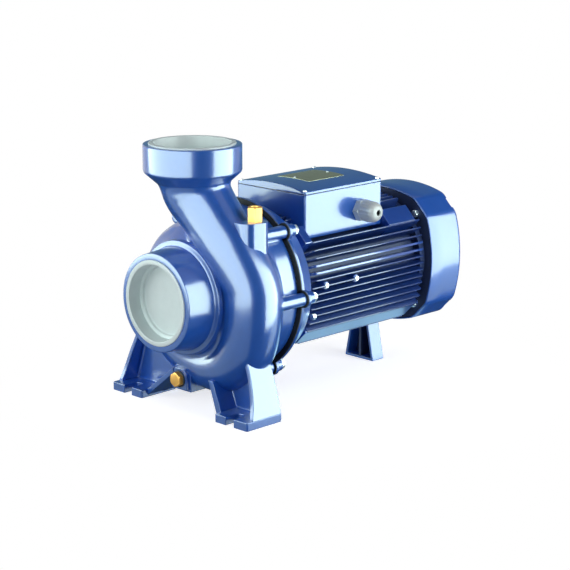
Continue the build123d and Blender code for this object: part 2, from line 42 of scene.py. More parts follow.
# Lengths are millimetres, apart from the studio's. Along the shaft they are stations behind the suction
# face, across it is +Y, and heights start at the floor.
frameMiddle = 261.7    # station of the frame's origin
shaftHeight = 160.0
onShaft = (0, 0, shaftHeight)
origin = (0, 0, 0)
pole = 0.4             # radius of the small cap that closes a turned skin on its axis


def toLinear(hexColour):
    # sRGB to linear: divide by 12.92 near black, else the 2.4 power curve
    parts = [int(hexColour[i:i + 2], 16) / 255 for i in (1, 3, 5)]
    return [part / 12.92 if part <= 0.04045 else ((part + 0.055) / 1.055) ** 2.4 for part in parts] + [1.0]


def addNode(tree, kind, links=None, **settings):
    # one node: settings are its properties or, by name, its input values; links feed its inputs
    node = tree.nodes.new(kind)
    for key, value in settings.items():
        if hasattr(node, key):
            setattr(node, key, value)
        else:
            node.inputs[key.replace("_", " ")].default_value = value
    for key, source in (links or {}).items():
        tree.links.new(source, node.inputs[key])
    return node


# finishes

def newMaterial(name):
    # an empty node material, with its output and the Object coordinates for its patterns
    material = bpy.data.materials.new(name)
    material.use_nodes = True
    tree = material.node_tree
    tree.nodes.clear()
    output = addNode(tree, "ShaderNodeOutputMaterial")
    place = addNode(tree, "ShaderNodeTexCoord").outputs["Object"]
    return material, tree, output, place


# Blue stoving enamel: two tones of its body, and a clear gloss over whatever the metal's skin is like.
# The skin is a fine grain and a broad swell, each with its size and depth in millimetres.
enamelKinds = {
    # sand cast iron: thick, wet looking paint that rounds off the marks of the sand
    "castIronEnamel": {"body": "#1a4d9e", "shade": "#174692", "rough": 0.34, "coat": 1.0, "coatRough": 0.18,
                       "grain": 2.2, "grainDepth": 0.08, "swell": 14.0, "swellDepth": 0.10},
    # turned cast iron: the same blue with a flatter, less glassy shine
    "castFlangeEnamel": {"body": "#1a4d9e", "shade": "#174692", "rough": 0.34,
                         "coat": 0.78, "coatRough": 0.16,
                         "grain": 1.8, "grainDepth": 0.06, "swell": 16.0, "swellDepth": 0.06},
    # die cast frame: a finer skin and a deeper blue
    "castFrameEnamel": {"body": "#174090", "shade": "#143882", "rough": 0.36, "coat": 0.9, "coatRough": 0.15,
                        "grain": 1.6, "grainDepth": 0.05, "swell": 20.0, "swellDepth": 0.06},
    # its thin fins: the same blue darkened nearly to navy, painted shade for how each fin shades the next
    "finPaintedShadeEnamel": {"body": "#0f2b68", "shade": "#0d265e", "rough": 0.40, "coat": 0.75, "coatRough": 0.14,
                      "grain": 1.6, "grainDepth": 0.05, "swell": 20.0, "swellDepth": 0.06},
    # pressed sheet steel: the palest blue, even and almost without grain
    "sheetEnamel": {"body": "#1b50a8", "shade": "#184a9e", "rough": 0.36, "coat": 0.72, "coatRough": 0.16,
                    "grain": 1.0, "grainDepth": 0.02, "swell": 30.0, "swellDepth": 0.05},
    # die cast box and lid: smooth broad faces with a clean shine
    "boxEnamel": {"body": "#1a4fa4", "shade": "#174898", "rough": 0.34, "coat": 0.75, "coatRough": 0.15,
                  "grain": 1.2, "grainDepth": 0.03, "swell": 26.0, "swellDepth": 0.05},
}
enamelLayer = {"specular": 0.12, "coatIor": 1.5, "swellBump": 0.5, "grainBump": 0.6}


def enamel(name):
    # grain and swell are noise of their size in millimetres, turned into a scale per metre
    kind = enamelKinds[name]
    material, tree, output, place = newMaterial(name)
    grain = addNode(tree, "ShaderNodeTexNoise", {"Vector": place}, Scale=1000 / kind["grain"], Detail=3.0)
    swell = addNode(tree, "ShaderNodeTexNoise", {"Vector": place}, Scale=1000 / kind["swell"], Detail=2.0)
    tint = addNode(tree, "ShaderNodeMix", {"Factor": swell.outputs["Fac"]}, data_type="RGBA")
    tint.inputs["A"].default_value = toLinear(kind["shade"])
    tint.inputs["B"].default_value = toLinear(kind["body"])
    broad = addNode(tree, "ShaderNodeBump", {"Height": swell.outputs["Fac"]},
                    Strength=enamelLayer["swellBump"], Distance=kind["swellDepth"] / 1000)
    fine = addNode(tree, "ShaderNodeBump",
                   {"Height": grain.outputs["Fac"], "Normal": broad.outputs["Normal"]},
                   Strength=enamelLayer["grainBump"], Distance=kind["grainDepth"] / 1000)
    paint = addNode(tree, "ShaderNodeBsdfPrincipled",
                    {"Base Color": tint.outputs["Result"], "Normal": fine.outputs["Normal"]},
                    Roughness=kind["rough"], Specular_IOR_Level=enamelLayer["specular"],
                    Coat_Weight=kind["coat"], Coat_IOR=enamelLayer["coatIor"],
                    Coat_Roughness=kind["coatRough"])
    tree.links.new(paint.outputs["BSDF"], output.inputs["Surface"])
    return material


# Moulded plastics, rubber, bare metals and paint darkened as painted shade: two tones, and a grain with its
# size and depth in mm
plainKinds = {
    # moulded polythene: a milky pale grey with a soft sheen
    "capPolythene": {"tone": "#c0cacb", "dark": "#b6c1c3", "rough": 0.42, "grain": 3.0, "depth": 0.03},
    # moulded polyamide: a pale grey, harder and a little shinier
    "glandPolyamide": {"tone": "#bac2c2", "dark": "#a8b0b1", "rough": 0.38, "grain": 0.8, "depth": 0.03},
    # moulded polypropylene: dull black
    "fanPolypropylene": {"tone": "#1a1c20", "dark": "#121418", "rough": 0.5, "grain": 1.5, "depth": 0.04},
    # cut rubber sheet: black with no shine to speak of
    "gasketRubber": {"tone": "#191c22", "dark": "#101216", "rough": 0.7, "grain": 0.8, "depth": 0.05},
    # turned brass: warm yellow, its metal softened by the turning marks
    "turnedBrass": {"tone": "#c8954c", "dark": "#ba873e", "metal": 0.4, "rough": 0.38,
                    "grain": 1.2, "depth": 0.02},
    # zinc plated steel: bright silver that catches every lamp
    "zincPlatedSteel": {"tone": "#dfe4ea", "dark": "#c3cad2", "metal": 1.0, "rough": 0.32,
                        "grain": 1.0, "depth": 0.02},
    # ground steel: a smooth mid grey
    "groundShaftSteel": {"tone": "#b9bdc2", "dark": "#a4a9ae", "metal": 1.0, "rough": 0.28,
                         "grain": 0.8, "depth": 0.01},
    # painted shade: the frame's blue made dark and without gloss, for the shade between the fins, inside the
    # foot and behind the cowl
    "paintedShadeEnamel": {"tone": "#0b1e4a", "dark": "#09183e", "rough": 0.5, "grain": 1.6, "depth": 0.05},
    # anodised aluminium sheet: an olive grey satin
    "anodisedPlate": {"tone": "#84856f", "dark": "#77785f", "metal": 0.6, "rough": 0.42,
                      "grain": 1.4, "depth": 0.01},
}
plainLayer = {"specular": 0.25, "grainBump": 0.5, "cloudScale": 90.0}    # clouds of tone about 11 mm wide


def plainFinish(name):
    # the tone drifts between its two colours as a broad noise, over a bump of fine noise
    kind = plainKinds[name]
    material, tree, output, place = newMaterial(name)
    grain = addNode(tree, "ShaderNodeTexNoise", {"Vector": place}, Scale=1000 / kind["grain"], Detail=3.0)
    cloud = addNode(tree, "ShaderNodeTexNoise", {"Vector": place}, Scale=plainLayer["cloudScale"], Detail=3.0)
    tint = addNode(tree, "ShaderNodeMix", {"Factor": cloud.outputs["Fac"]}, data_type="RGBA")
    tint.inputs["A"].default_value = toLinear(kind["dark"])
    tint.inputs["B"].default_value = toLinear(kind["tone"])
    fine = addNode(tree, "ShaderNodeBump", {"Height": grain.outputs["Fac"]},
                   Strength=plainLayer["grainBump"], Distance=kind["depth"] / 1000)
    skin = addNode(tree, "ShaderNodeBsdfPrincipled",
                   {"Base Color": tint.outputs["Result"], "Normal": fine.outputs["Normal"]},
                   Metallic=kind.get("metal", 0.0), Roughness=kind["rough"],
                   Specular_IOR_Level=plainLayer["specular"])
    tree.links.new(skin.outputs["BSDF"], output.inputs["Surface"])
    return material


finishes = {name: enamel(name) for name in enamelKinds}
finishes.update({name: plainFinish(name) for name in plainKinds})
print("finishes:", len(finishes))

# Solids that stay in sight as they are: all the others are replaced by a piece below
finishOfNode = {
    # the rear end shield takes the dark finish: painted shade behind the cowl
    "rear_end_shield": "paintedShadeEnamel", "cooling_fan": "fanPolypropylene",
    "motor_shaft": "groundShaftSteel", "terminal_box_gasket": "gasketRubber",
}
for name, finish in finishOfNode.items():
    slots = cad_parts[name].data.materials
    slots.clear()
    slots.append(finishes[finish])


# how shapes are made

def gridFaces(rows, columns):
    # quads between each two rows of a grid that closes round its columns
    row, column = np.meshgrid(np.arange(rows - 1), np.arange(columns), indexing="ij")
    first, second = row * columns + column, row * columns + (column + 1) % columns
    return np.stack([first, second, second + columns, first + columns], -1).reshape(-1, 4)


def shell(rings, loop=False):
    # a skin through rings of points, closed round each ring: its ends are capped, or joined where it loops
    rings = np.asarray(rings, float)
    rows, columns = rings.shape[:2]
    faces = [gridFaces(rows, columns)]
    first = np.arange(columns)
    last = (rows - 1) * columns + first
    if loop:
        faces.append(np.stack([last, np.roll(last, -1), np.roll(first, -1), first], -1))
    else:
        faces += [first[None, ::-1], last[None]]
    return rings.reshape(-1, 3), faces


def put(local, axis, at):
    # local (along, u, v) points set down at a place, their first number along the named axis
    along, u, v = np.moveaxis(np.asarray(local, float), -1, 0)
    x, y, z = {"x": (along, u, v), "-x": (-along, u, v), "z": (u, v, along), "-y": (u, -along, v)}[axis]
    return np.stack([at[0] + x, at[1] + y, at[2] + z], -1)


def prism(outline, low, high):
    # an outline of (u, v) corners drawn from low to high
    outline = np.array(outline, float)
    return np.stack([np.column_stack([np.full(len(outline), end), outline]) for end in (low, high)])


def spun(profile, count):
    # each (along, radius) row of the profile goes round in equal steps
    profile = np.array(profile, float)
    turn = np.arange(count) * 2 * np.pi / count
    along = np.repeat(profile[:, :1], count, 1)
    return np.stack([along, profile[:, 1:] * np.cos(turn), profile[:, 1:] * np.sin(turn)], -1)


def drawn(outline, low, high, axis="x"):
    # the skin of a prism that stands along an axis
    return shell(put(prism(outline, low, high), axis, origin))


def turned(profile, count, axis="x", at=onShaft, loop=False):
    # the skin of a profile spun about an axis through a place
    return shell(put(spun(profile, count), axis, at), loop)


def rounded(corners, radii, steps=4, closed=True):
    # each corner becomes an arc tangent to its two sides, with its centre on their bisector
    corners, made = [np.array(corner, float) for corner in corners], []
    radii = np.broadcast_to(radii, len(corners))
    for i, (corner, radius) in enumerate(zip(corners, radii)):
        if radius <= 0 or (not closed and i in (0, len(corners) - 1)):
            made.append(corner[None])
            continue
        back, on = corners[i - 1] - corner, corners[(i + 1) % len(corners)] - corner
        back, on = back / np.linalg.norm(back), on / np.linalg.norm(on)
        half = math.acos(np.clip(back @ on, -1, 1)) / 2
        middle = corner + (back + on) / np.linalg.norm(back + on) * radius / math.sin(half)
        start, end = corner + back * radius / math.tan(half), corner + on * radius / math.tan(half)
        first = math.atan2(*(start - middle)[::-1])
        turn = (math.atan2(*(end - middle)[::-1]) - first + math.pi) % (2 * math.pi) - math.pi
        sweep = first + turn * np.linspace(0, 1, steps + 1)
        made.append(middle + radius * np.stack([np.cos(sweep), np.sin(sweep)], -1))
    return np.vstack(made)


def makePiece(name, shells, finish, bevel=0.0, crease=35.0, stands=()):
    # shells in station millimetres become one mesh in metres, with its faces outwards
    points = np.concatenate([points for points, _ in shells])
    starts = np.cumsum([0] + [len(points) for points, _ in shells[:-1]])
    faces = [face for start, (_, blocks) in zip(starts, shells)
             for block in blocks for face in (block + start).tolist()]
    mesh = bpy.data.meshes.new(name)
    mesh.from_pydata((points - np.array([frameMiddle, 0, 0])) / 1000, [], faces)
    draft = bmesh.new()
    draft.from_mesh(mesh)
    bmesh.ops.remove_doubles(draft, verts=draft.verts, dist=1e-6)
    bmesh.ops.recalc_face_normals(draft, faces=draft.faces)
    draft.to_mesh(mesh)
    draft.free()
    mesh.polygons.foreach_set("use_smooth", np.ones(len(mesh.polygons), bool))
    piece = bpy.data.objects.new(name, mesh)
    bpy.context.scene.collection.objects.link(piece)
    mesh.materials.append(finishes[finish])
    if bevel:
        edge = piece.modifiers.new("edges", "BEVEL")
        edge.width, edge.segments, edge.limit_method = bevel / 1000, 2, "ANGLE"
        edge.angle_limit, edge.miter_outer = math.radians(crease), "MITER_ARC"
        piece.modifiers.new("shading", "WEIGHTED_NORMAL")
    else:
        mesh.set_sharp_from_angle(angle=math.radians(crease))
    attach(piece, "root")
    if stands:
        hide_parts(*stands)
    return piece


# cast casing: one skin drawn over the solids of the hub, drum, spiral, neck and bosses

casting = {
    # spiral: its tube turns from the first to the last angle while its reach and radius grow
    "spiralStation": 88.0, "spiralAngles": (120.0, 375.0), "spiralRows": 16,
    "spiralReach": (104.0, 139.0), "spiralTube": (22.0, 39.0),
    "spiralGrowth": 1.25,    # full grown after four fifths of the turn
    "belly": 11.0, "bellyAngle": 307.0, "bellySpread": 32.0,    # fuller reach low on the near side
    # neck rows: station, across, height, radius
    "neck": [(84.0, -70.0, 226.0, 41.5), (79.5, -47.5, 254.0, 41.5), (75.5, -22.0, 285.0, 43.0),
             (73.5, -8.5, 302.0, 45.6), (72.2, -3.0, 316.0, 47.6), (71.5, -1.0, 326.0, 46.0)],
    # turned outlines, drawn inset by their rounding
    "hub": [(20, 0), (20, 66), (49, 71), (72, 95), (84, 100), (118, 100), (123.5, 115.2), (154.4, 115.2),
            (154.4, 0)],
    "hubRound": 2.6,
    "collar": [(300, 0), (300, 30), (306.9, 30), (336.6, 62.3), (366, 62.3), (366, 0)],
    "collarRound": 4.0, "collarStation": 71.0,
    "bossReach": 126.0, "bossAngles": (45.0, 0.0, -60.0, 135.0, 180.0, 240.0), "bossRadius": 9.3,
    "bossStarts": (98.0, 98.0, 118.0, 118.0, 118.0, 118.0), "jointFace": 156.9,
    "port": 60.0, "suctionDepth": 40.0, "dischargeFloor": 333.0,    # hollows of the ports
    "hubHollow": [(41, 1), (41, 61), (20, 61)], "collarHollow": [(366, 57), (330, 57), (330, 1)],
    "tubeBlend": 7.0, "bossBlend": 3.0, "collarBlend": 8.0,    # width of each eased joint
    # the skin: spacing of its points, rows of its path, how far each pass evens its points out, the longest
    # move of a pass, and the length over which the slope is measured
    "voxel": 1.9, "pathRows": 420, "evening": (0.6, 0.5, 0.4, 0.0, 0.0), "stride": 4.0, "nudge": 0.03,
}
onCollar = (casting["collarStation"], 0, 0)


def smoothPath(rows, count):
    # Catmull-Rom: each span is the cubic through its two rows with the slopes of their neighbours
    rows = np.array(rows, float)
    ends = np.vstack([2 * rows[0] - rows[1], rows, 2 * rows[-1] - rows[-2]])
    along = np.linspace(0, len(rows) - 1 - 1e-9, count)
    span = along.astype(int)
    t = (along - span)[:, None]
    a, b, c, d = ends[span], ends[span + 1], ends[span + 2], ends[span + 3]
    squared, cubed = 2 * a - 5 * b + 4 * c - d, 3 * b - a - 3 * c + d
    return 0.5 * (2 * b + (c - a) * t + squared * t ** 2 + cubed * t ** 3)


def spiralRows():
    # the tube's centre is at the reach less its radius, plus a belly of height exp(-(angle / spread)^2)
    angles = np.linspace(*casting["spiralAngles"], casting["spiralRows"])
    growth = np.minimum(1.0, (angles - angles[0]) / (angles[-1] - angles[0]) * casting["spiralGrowth"])
    thin, thick = casting["spiralTube"]
    near, far = casting["spiralReach"]
    tube = thin + (thick - thin) * growth
    reach = near + (far - near) * growth - tube
    reach += casting["belly"] * np.exp(-((angles - casting["bellyAngle"]) / casting["bellySpread"]) ** 2)
    turn = np.radians(angles)
    return np.stack([np.full(len(angles), casting["spiralStation"]), -reach * np.cos(turn),
                     shaftHeight + reach * np.sin(turn), tube], 1)


def bossAt(station, angle):
    # a place on the circle of the bosses: its angle in degrees goes up from the near side
    turn, reach = math.radians(angle), casting["bossReach"]
    return station, -reach * math.cos(turn), shaftHeight + reach * math.sin(turn)


def outlineDistance(u, v, corners):
    # distance to the nearest side of a closed outline, negative where a ray crosses it an odd number of times
    best, inside = np.full(len(u), 1e9), np.zeros(len(u), bool)
    for (au, av), (bu, bv) in zip(corners, corners[1:] + corners[:1]):
        du, dv = bu - au, bv - av
        t = np.clip(((u - au) * du + (v - av) * dv) / (du * du + dv * dv), 0, 1)
        best = np.minimum(best, np.hypot(u - au - t * du, v - av - t * dv))
        if av != bv:
            inside ^= ((v < av) != (v < bv)) & (u < au + (v - av) * du / dv)
    return np.where(inside, -best, best)


def tubeDistance(points, path, near):
    # distance to the nearest spans of the path, less the radius read between their ends
    best = np.full(len(points), 1e9)
    for step in range(-3, 3):
        k = np.clip(near + step, 0, len(path) - 2)
        start, end = path[k], path[k + 1]
        along = end[:, :3] - start[:, :3]
        t = np.clip(((points - start[:, :3]) * along).sum(1) / (along ** 2).sum(1), 0, 1)
        away = np.linalg.norm(points - start[:, :3] - along * t[:, None], axis=1)
        best = np.minimum(best, away - start[:, 3] - (end[:, 3] - start[:, 3]) * t)
    return best


def nearestRow(points, path):
    # the path row whose ball lies nearest each point, a few thousand points at a time
    parts = [np.argmin(np.linalg.norm(block[:, None] - path[None, :, :3], axis=2) - path[None, :, 3], axis=1)
             for block in np.array_split(points, max(1, len(points) // 4000))]
    return np.concatenate(parts)


def smoothUnion(one, two, width):
    # the lower of two distances, eased together over the width
    share = np.clip(0.5 + 0.5 * (two - one) / width, 0, 1)
    return two * (1 - share) + one * share - width * share * (1 - share)


def castingDistance(points, path, near):
    # how far a point lies outside the casting: hub, tube, bosses and collar eased into each other, less the
    # two ports and all that is behind the joint's face
    x, y, z = points.T
    fromShaft = np.hypot(y, z - shaftHeight)
    hub = outlineDistance(x, fromShaft, casting["hub"]) - casting["hubRound"]
    skin = smoothUnion(hub, tubeDistance(points, path, near), casting["tubeBlend"])
    end = casting["jointFace"]
    for angle, start in zip(casting["bossAngles"], casting["bossStarts"]):
        at = bossAt(0, angle)
        away = np.hypot(y - at[1], z - at[2]) - casting["bossRadius"]
        boss = np.maximum(away, np.abs(x - (start + end) / 2) - (end - start) / 2)
        skin = smoothUnion(skin, boss, casting["bossBlend"])
    fromPort = np.hypot(x - casting["collarStation"], y)
    collar = outlineDistance(z, fromPort, casting["collar"]) - casting["collarRound"]
    skin = smoothUnion(skin, collar, casting["collarBlend"])
    suction = np.maximum(fromShaft - casting["port"], x - casting["suctionDepth"])
    discharge = np.maximum(fromPort - casting["port"], casting["dischargeFloor"] - z)
    return np.maximum.reduce([skin, -suction, -discharge, x - end])


def roughCasting(path):
    # rings of the tube stand square to its path: their sides are the cross products of its direction and +X
    coarse = path[::6]
    ahead = np.gradient(coarse[:, :3], axis=0)
    ahead /= np.linalg.norm(ahead, axis=1)[:, None]
    side = np.cross(ahead, [1.0, 0, 0])
    side /= np.linalg.norm(side, axis=1)[:, None]
    up = np.cross(side, ahead)
    turn = np.arange(40) * np.pi / 20
    ring = np.cos(turn)[None, :, None] * side[:, None] + np.sin(turn)[None, :, None] * up[:, None]
    shells = [shell(coarse[:, None, :3] + ring * coarse[:, None, 3:])]
    hub = np.array(casting["hubHollow"] + casting["hub"][1:-1]) + [0, casting["hubRound"]]
    collar = np.array(casting["collar"][1:-1] + casting["collarHollow"]) + casting["collarRound"]
    shells += [turned(hub, 96), turned(collar, 96, "z", onCollar)]
    for angle, start in zip(casting["bossAngles"], casting["bossStarts"]):
        boss = [(start, casting["bossRadius"]), (casting["jointFace"], casting["bossRadius"])]
        shells.append(turned(boss, 24, at=bossAt(0, angle)))
    return shells


def castingSkin():
    # a rough union of the shapes is remeshed evenly, then its points go down the slope to where the distance
    # is nought, and towards the mean of their neighbours
    path = smoothPath(np.vstack([spiralRows(), casting["neck"]]), casting["pathRows"])
    draft = makePiece("castingDraft", roughCasting(path), "castIronEnamel")
    remesh = draft.modifiers.new("even", "REMESH")
    remesh.mode, remesh.voxel_size = "VOXEL", casting["voxel"] / 1000
    evaluated = draft.evaluated_get(bpy.context.evaluated_depsgraph_get()).to_mesh()
    count = len(evaluated.vertices)
    points = np.empty(count * 3)
    evaluated.vertices.foreach_get("co", points)
    points = points.reshape(-1, 3) * 1000 + [frameMiddle, 0, 0]
    corners = np.empty(len(evaluated.loops), int)
    evaluated.loops.foreach_get("vertex_index", corners)
    quads = corners.reshape(-1, 4)
    bpy.data.objects.remove(draft)
    ends = np.concatenate([quads, np.roll(quads, -1, 1)]).reshape(-1)
    others = np.concatenate([np.roll(quads, -1, 1), quads]).reshape(-1)
    valence = np.bincount(ends, minlength=count)[:, None]
    nudge, stride = casting["nudge"], casting["stride"]
    for share in casting["evening"]:
        near = nearestRow(points, path[::3]) * 3
        gap = castingDistance(points, path, near)
        slope = [castingDistance(points + step, path, near) - gap for step in np.eye(3) * nudge]
        slope = np.stack(slope, 1) / nudge
        down = np.clip(gap, -stride, stride) / np.maximum((slope ** 2).sum(1), 0.2)
        points = points - slope * down[:, None]
        mean = np.stack([np.bincount(ends, points[others, k], count) for k in range(3)], 1) / valence
        points = points + (mean - points) * share
    return [(points, [quads])]


castBody = makePiece("castingBody", castingSkin(), "castIronEnamel", crease=60.0, stands=["pump_casing"])
print("casting:", len(castBody.data.polygons), "faces")


# turned nozzles, crisper than the cast skin they stand on

nozzles = {
    "bore": 56.55, "suctionMouth": 68.5, "suctionRoot": 72.0, "suctionLength": 43.0, "suctionBore": 38.0,
    "ring": 79.8, "ringWidth": 6.5, "ringFlare": 1.2, "suctionSunk": [(54.0, 76.0), (50.0, 62.0)],
    "dischargeRadius": 67.95, "dischargeTop": 371.6, "dischargeFoot": 334.3, "dischargeBore": 330.0,
    "dischargeSunk": [(315.0, 46.4), (322.0, 44.0)],
}
bore, length, ring = nozzles["bore"], nozzles["suctionLength"], nozzles["ring"]
suctionOutline = rounded(
    [(nozzles["suctionBore"], bore), (0, bore), (0, nozzles["suctionMouth"]),
     (length, nozzles["suctionRoot"]), (length, ring),
     (length + nozzles["ringWidth"], ring + nozzles["ringFlare"]), *nozzles["suctionSunk"]],
    [0, 0.8, 1.6, 3.0, 1.2, 0, 0, 0])
makePiece("suctionNozzle", [turned(suctionOutline, 144, loop=True)], "castIronEnamel")
top, foot, radius = nozzles["dischargeTop"], nozzles["dischargeFoot"], nozzles["dischargeRadius"]
dischargeOutline = rounded(
    [(nozzles["dischargeBore"], bore), (top, bore), (top, radius), (foot, radius), *nozzles["dischargeSunk"]],
    [0, 0.8, 1.5, 6.0, 0, 0])
makePiece("dischargeNozzle", [turned(dischargeOutline, 144, "z", onCollar, loop=True)], "castIronEnamel")
print("nozzles turned")


# bosses and feet cast on the casing

feet = {
    "front": 36.7, "rear": 102.8, "inner": 76.0, "outer": 140.0, "plate": 12.0, "corner": 3.0,
    "slot": 15.3, "slotMiddle": 106.0, "slotLength": 25.0, "wall": 7.0, "setback": 11.0,
    # outer wall from the floor up: height, across, and how far its front edge leans back
    "wallRows": [(2, 139.9, 0), (12, 139.2, 0.5), (22, 137, 3.6), (34, 134, 7.0), (54, 128, 10.5),
                 (72, 121, 13), (94, 111, 15)],
    # web and ribs: across, height
    "web": (78.0, 85.0),
    "webOutline": [(76, 2), (137, 2), (132, 34), (118, 72), (108, 100), (30, 100), (26, 50)],
    "nearRib": [(77, 12.5), (60.5, 52), (52, 52), (69, 3), (77, 3)],
    "farRib": [(76, 12.5), (20, 56), (20, 47), (76, 3)],
    # fillets: radius, then where those along the plate, the rib and the wall end
    "cove": 2.6, "coveEnd": 131.0, "nearCorner": (62.5, 47.0), "farCorner": (24.0, 53.0),
    "wallCove": 131.8, "wallCoveTop": (112.5, 72.0),
}
bosses = {
    "primingAt": (95.0, -97.0), "primingRadius": 17.5, "webAt": (86.0, -94.0),
    "webRoot": [(68.3, -60.0), (108.0, -60.0)], "primingTop": 274.0, "primingFoot": 205.0,
    "drainAt": (9.0, 41.0), "drainHalf": 15.0, "drainFace": 49.0, "drainStep": 5.5, "drainWiden": 3.0,
    "drainDepth": 42.0, "drainChamfer": 6.0,
    "plugFlats": 19.0, "primingHead": 20.0, "drainHead": 7.0,
    "washerRadius": 12.0, "washerHole": 7.0, "washer": 1.6,
}


def sided(points, side):
    # the same points on the -Y side, or mirrored on to the +Y side
    return np.asarray(points, float) * [1, side, 1]


def footWall():
    # each row of the wall is a slice from its leaning front edge to the rear, and from its outer face inwards
    height, across, lean = smoothPath(feet["wallRows"], 22).T
    front, rear = feet["front"] + feet["setback"] + lean, np.full(len(height), feet["rear"])
    inside = across - feet["wall"]
    corners = [(front, across), (rear, across), (rear, inside), (front, inside)]
    return np.stack([np.stack([x, -y, height], -1) for x, y in corners], 1)


def footPlate():
    # a plate with rounded corners and a slot open to the front that ends in a half circle
    front, rear, half = feet["front"], feet["rear"], feet["slot"] / 2
    turn = np.linspace(math.pi, 0, 13)
    middle = front + feet["slotLength"] - half
    slot = np.column_stack([middle + half * np.sin(turn), -feet["slotMiddle"] + half * np.cos(turn)])
    ring = rounded([(front, -feet["outer"]), (rear, -feet["outer"]), (rear, -feet["inner"]),
                    (front, -feet["inner"])], feet["corner"], 3)
    mouth = [(front, -feet["slotMiddle"] + half), *slot[::-1], (front, -feet["slotMiddle"] - half)]
    return put(prism(np.vstack([ring, mouth]), 0.0, feet["plate"]), "z", origin)


def cove(start, end, upward):
    # hollow fillet along the web's front: its section is the arc r (1 - cos t, 1 - sin t) between two legs
    forward, upward, radius = np.array((-1, 0, 0)), np.array(upward), feet["cove"]
    turn = np.linspace(0, math.pi / 2, 6)[:, None]
    legs = radius * ((1 - np.cos(turn)) * forward + (1 - np.sin(turn)) * upward)
    section = np.vstack([-0.6 * (forward + upward), legs])    # its root is sunk into the corner
    return np.stack([np.array((feet["web"][0], *at), float) + section for at in (start, end)])


def upright(outline, low, high):
    # an (across, height) outline of the near side as a slab between two stations
    return put(prism(np.array(outline) * (-1, 1), low, high), "x", origin)


for side, name, end in ((1, "footNear", "near"), (-1, "footFar", "far")):
    slabs = [footPlate(), upright(feet["webOutline"], *feet["web"]),
             upright(feet[end + "Rib"], feet["front"] + feet["setback"], feet["rear"])]
    makePiece(name, [shell(sided(rows, side)) for rows in slabs], "castIronEnamel", bevel=0.9)
    makePiece(name + "Wall", [shell(sided(footWall(), side))], "castIronEnamel", bevel=1.3)
    plate, rib, wall = feet["plate"], feet[end + "Corner"], feet["wallCoveTop"]
    coves = [cove((-feet["inner"] - 1, plate), (-feet["coveEnd"], plate), (0, 0, 1)),
             cove((-feet["inner"], plate), (-rib[0], rib[1]), (0, -0.7, 0.7)),
             cove((-feet["wallCove"], plate), (-wall[0], wall[1]), (0, 0.97, -0.24))]
    makePiece(name + "Fillets", [shell(sided(rows, side)) for rows in coves], "castIronEnamel")


def primingOutline():
    # two arcs, round the plug and round the web towards the neck, their angles in degrees
    outline, radius = [], bosses["primingRadius"]
    for middle, angles in (("primingAt", np.arange(30, -96, -7)), ("webAt", np.arange(-100, -181, -8))):
        (x, y), turn = bosses[middle], np.radians(angles)
        outline.append(np.column_stack([x + radius * np.cos(turn), y + radius * np.sin(turn)]))
    return np.vstack(outline + [bosses["webRoot"]])


def drainOutline(widen):
    # a square with its two upper corners cut off, widened all round
    y, z = bosses["drainAt"]
    half = bosses["drainHalf"] + widen
    flat = half - bosses["drainChamfer"]
    return [(y - half, z - half), (y + half, z - half), (y + half, z + flat), (y + flat, z + half),
            (y - flat, z + half), (y - half, z + flat)]


makePiece("primingBoss", [drawn(primingOutline(), bosses["primingFoot"], bosses["primingTop"], "z")],
          "castIronEnamel", bevel=0.8)
face, deep = bosses["drainFace"], bosses["drainFace"] + bosses["drainDepth"]
makePiece("drainBoss", [drawn(drainOutline(0), face, deep),
                        drawn(drainOutline(bosses["drainWiden"]), face + bosses["drainStep"], deep)],
          "castIronEnamel", bevel=0.9)
print("feet and bosses cast")


# hexagon heads and brass plugs

def hexagonal(acrossFlats, low, high, chamfer=1.1, dish=0.0, twist=0.0, count=72):
    # at each angle the radius is the apothem over the cosine from the flat's middle, or the cone's if less
    turn = np.arange(count) * 2 * np.pi / count
    apothem = acrossFlats / 2
    flat = apothem / np.cos((turn - math.radians(twist)) % (np.pi / 3) - np.pi / 6)
    corner, face = apothem / math.cos(np.pi / 6), 0.94 * apothem    # the chamfer's cone, from corner to face
    rows = [(low, corner), (high - chamfer, corner), (high - 0.4 * chamfer, 0.5 * (corner + face)),
            (high, face)]
    if dish:
        rows += [(high, 0.62 * apothem), (high - dish, 0.56 * apothem)]
    along, cone = (column[:, None] for column in np.array(rows).T)
    reach = np.minimum(flat, cone)
    return np.stack([np.repeat(along, count, 1), reach * np.cos(turn), reach * np.sin(turn)], -1)


def hexHead(axis, at, *sizes, **details):
    # the skin of a hexagon head that stands along an axis at a place
    return shell(put(hexagonal(*sizes, **details), axis, at))


plugFlats, seat = bosses["plugFlats"], bosses["drainFace"] - bosses["washer"]
makePiece("primingPlug", [hexHead("z", (*bosses["primingAt"], bosses["primingTop"]), plugFlats, -4,
                                  bosses["primingHead"], chamfer=1.3, dish=1.6, twist=-15.0)],
          "turnedBrass", stands=["priming_plug"])
makePiece("drainPlug", [hexHead("-x", (seat, *bosses["drainAt"]), plugFlats, -3, bosses["drainHead"],
                                chamfer=1.2, twist=30.0)], "turnedBrass", stands=["drain_plug"])
hole, radius, thick = bosses["washerHole"], bosses["washerRadius"], bosses["washer"]
washerOutline = rounded([(-1, hole), (-1, radius), (thick, radius), (thick, hole)], [0, 0, 0.5, 0], 2)
drainMouth = (bosses["drainFace"], *bosses["drainAt"])
makePiece("drainWasher", [turned(washerOutline, 48, "-x", drainMouth, loop=True)], "gasketRubber",
          stands=["drain_plug_washer"])


# plastic cups that close the ports

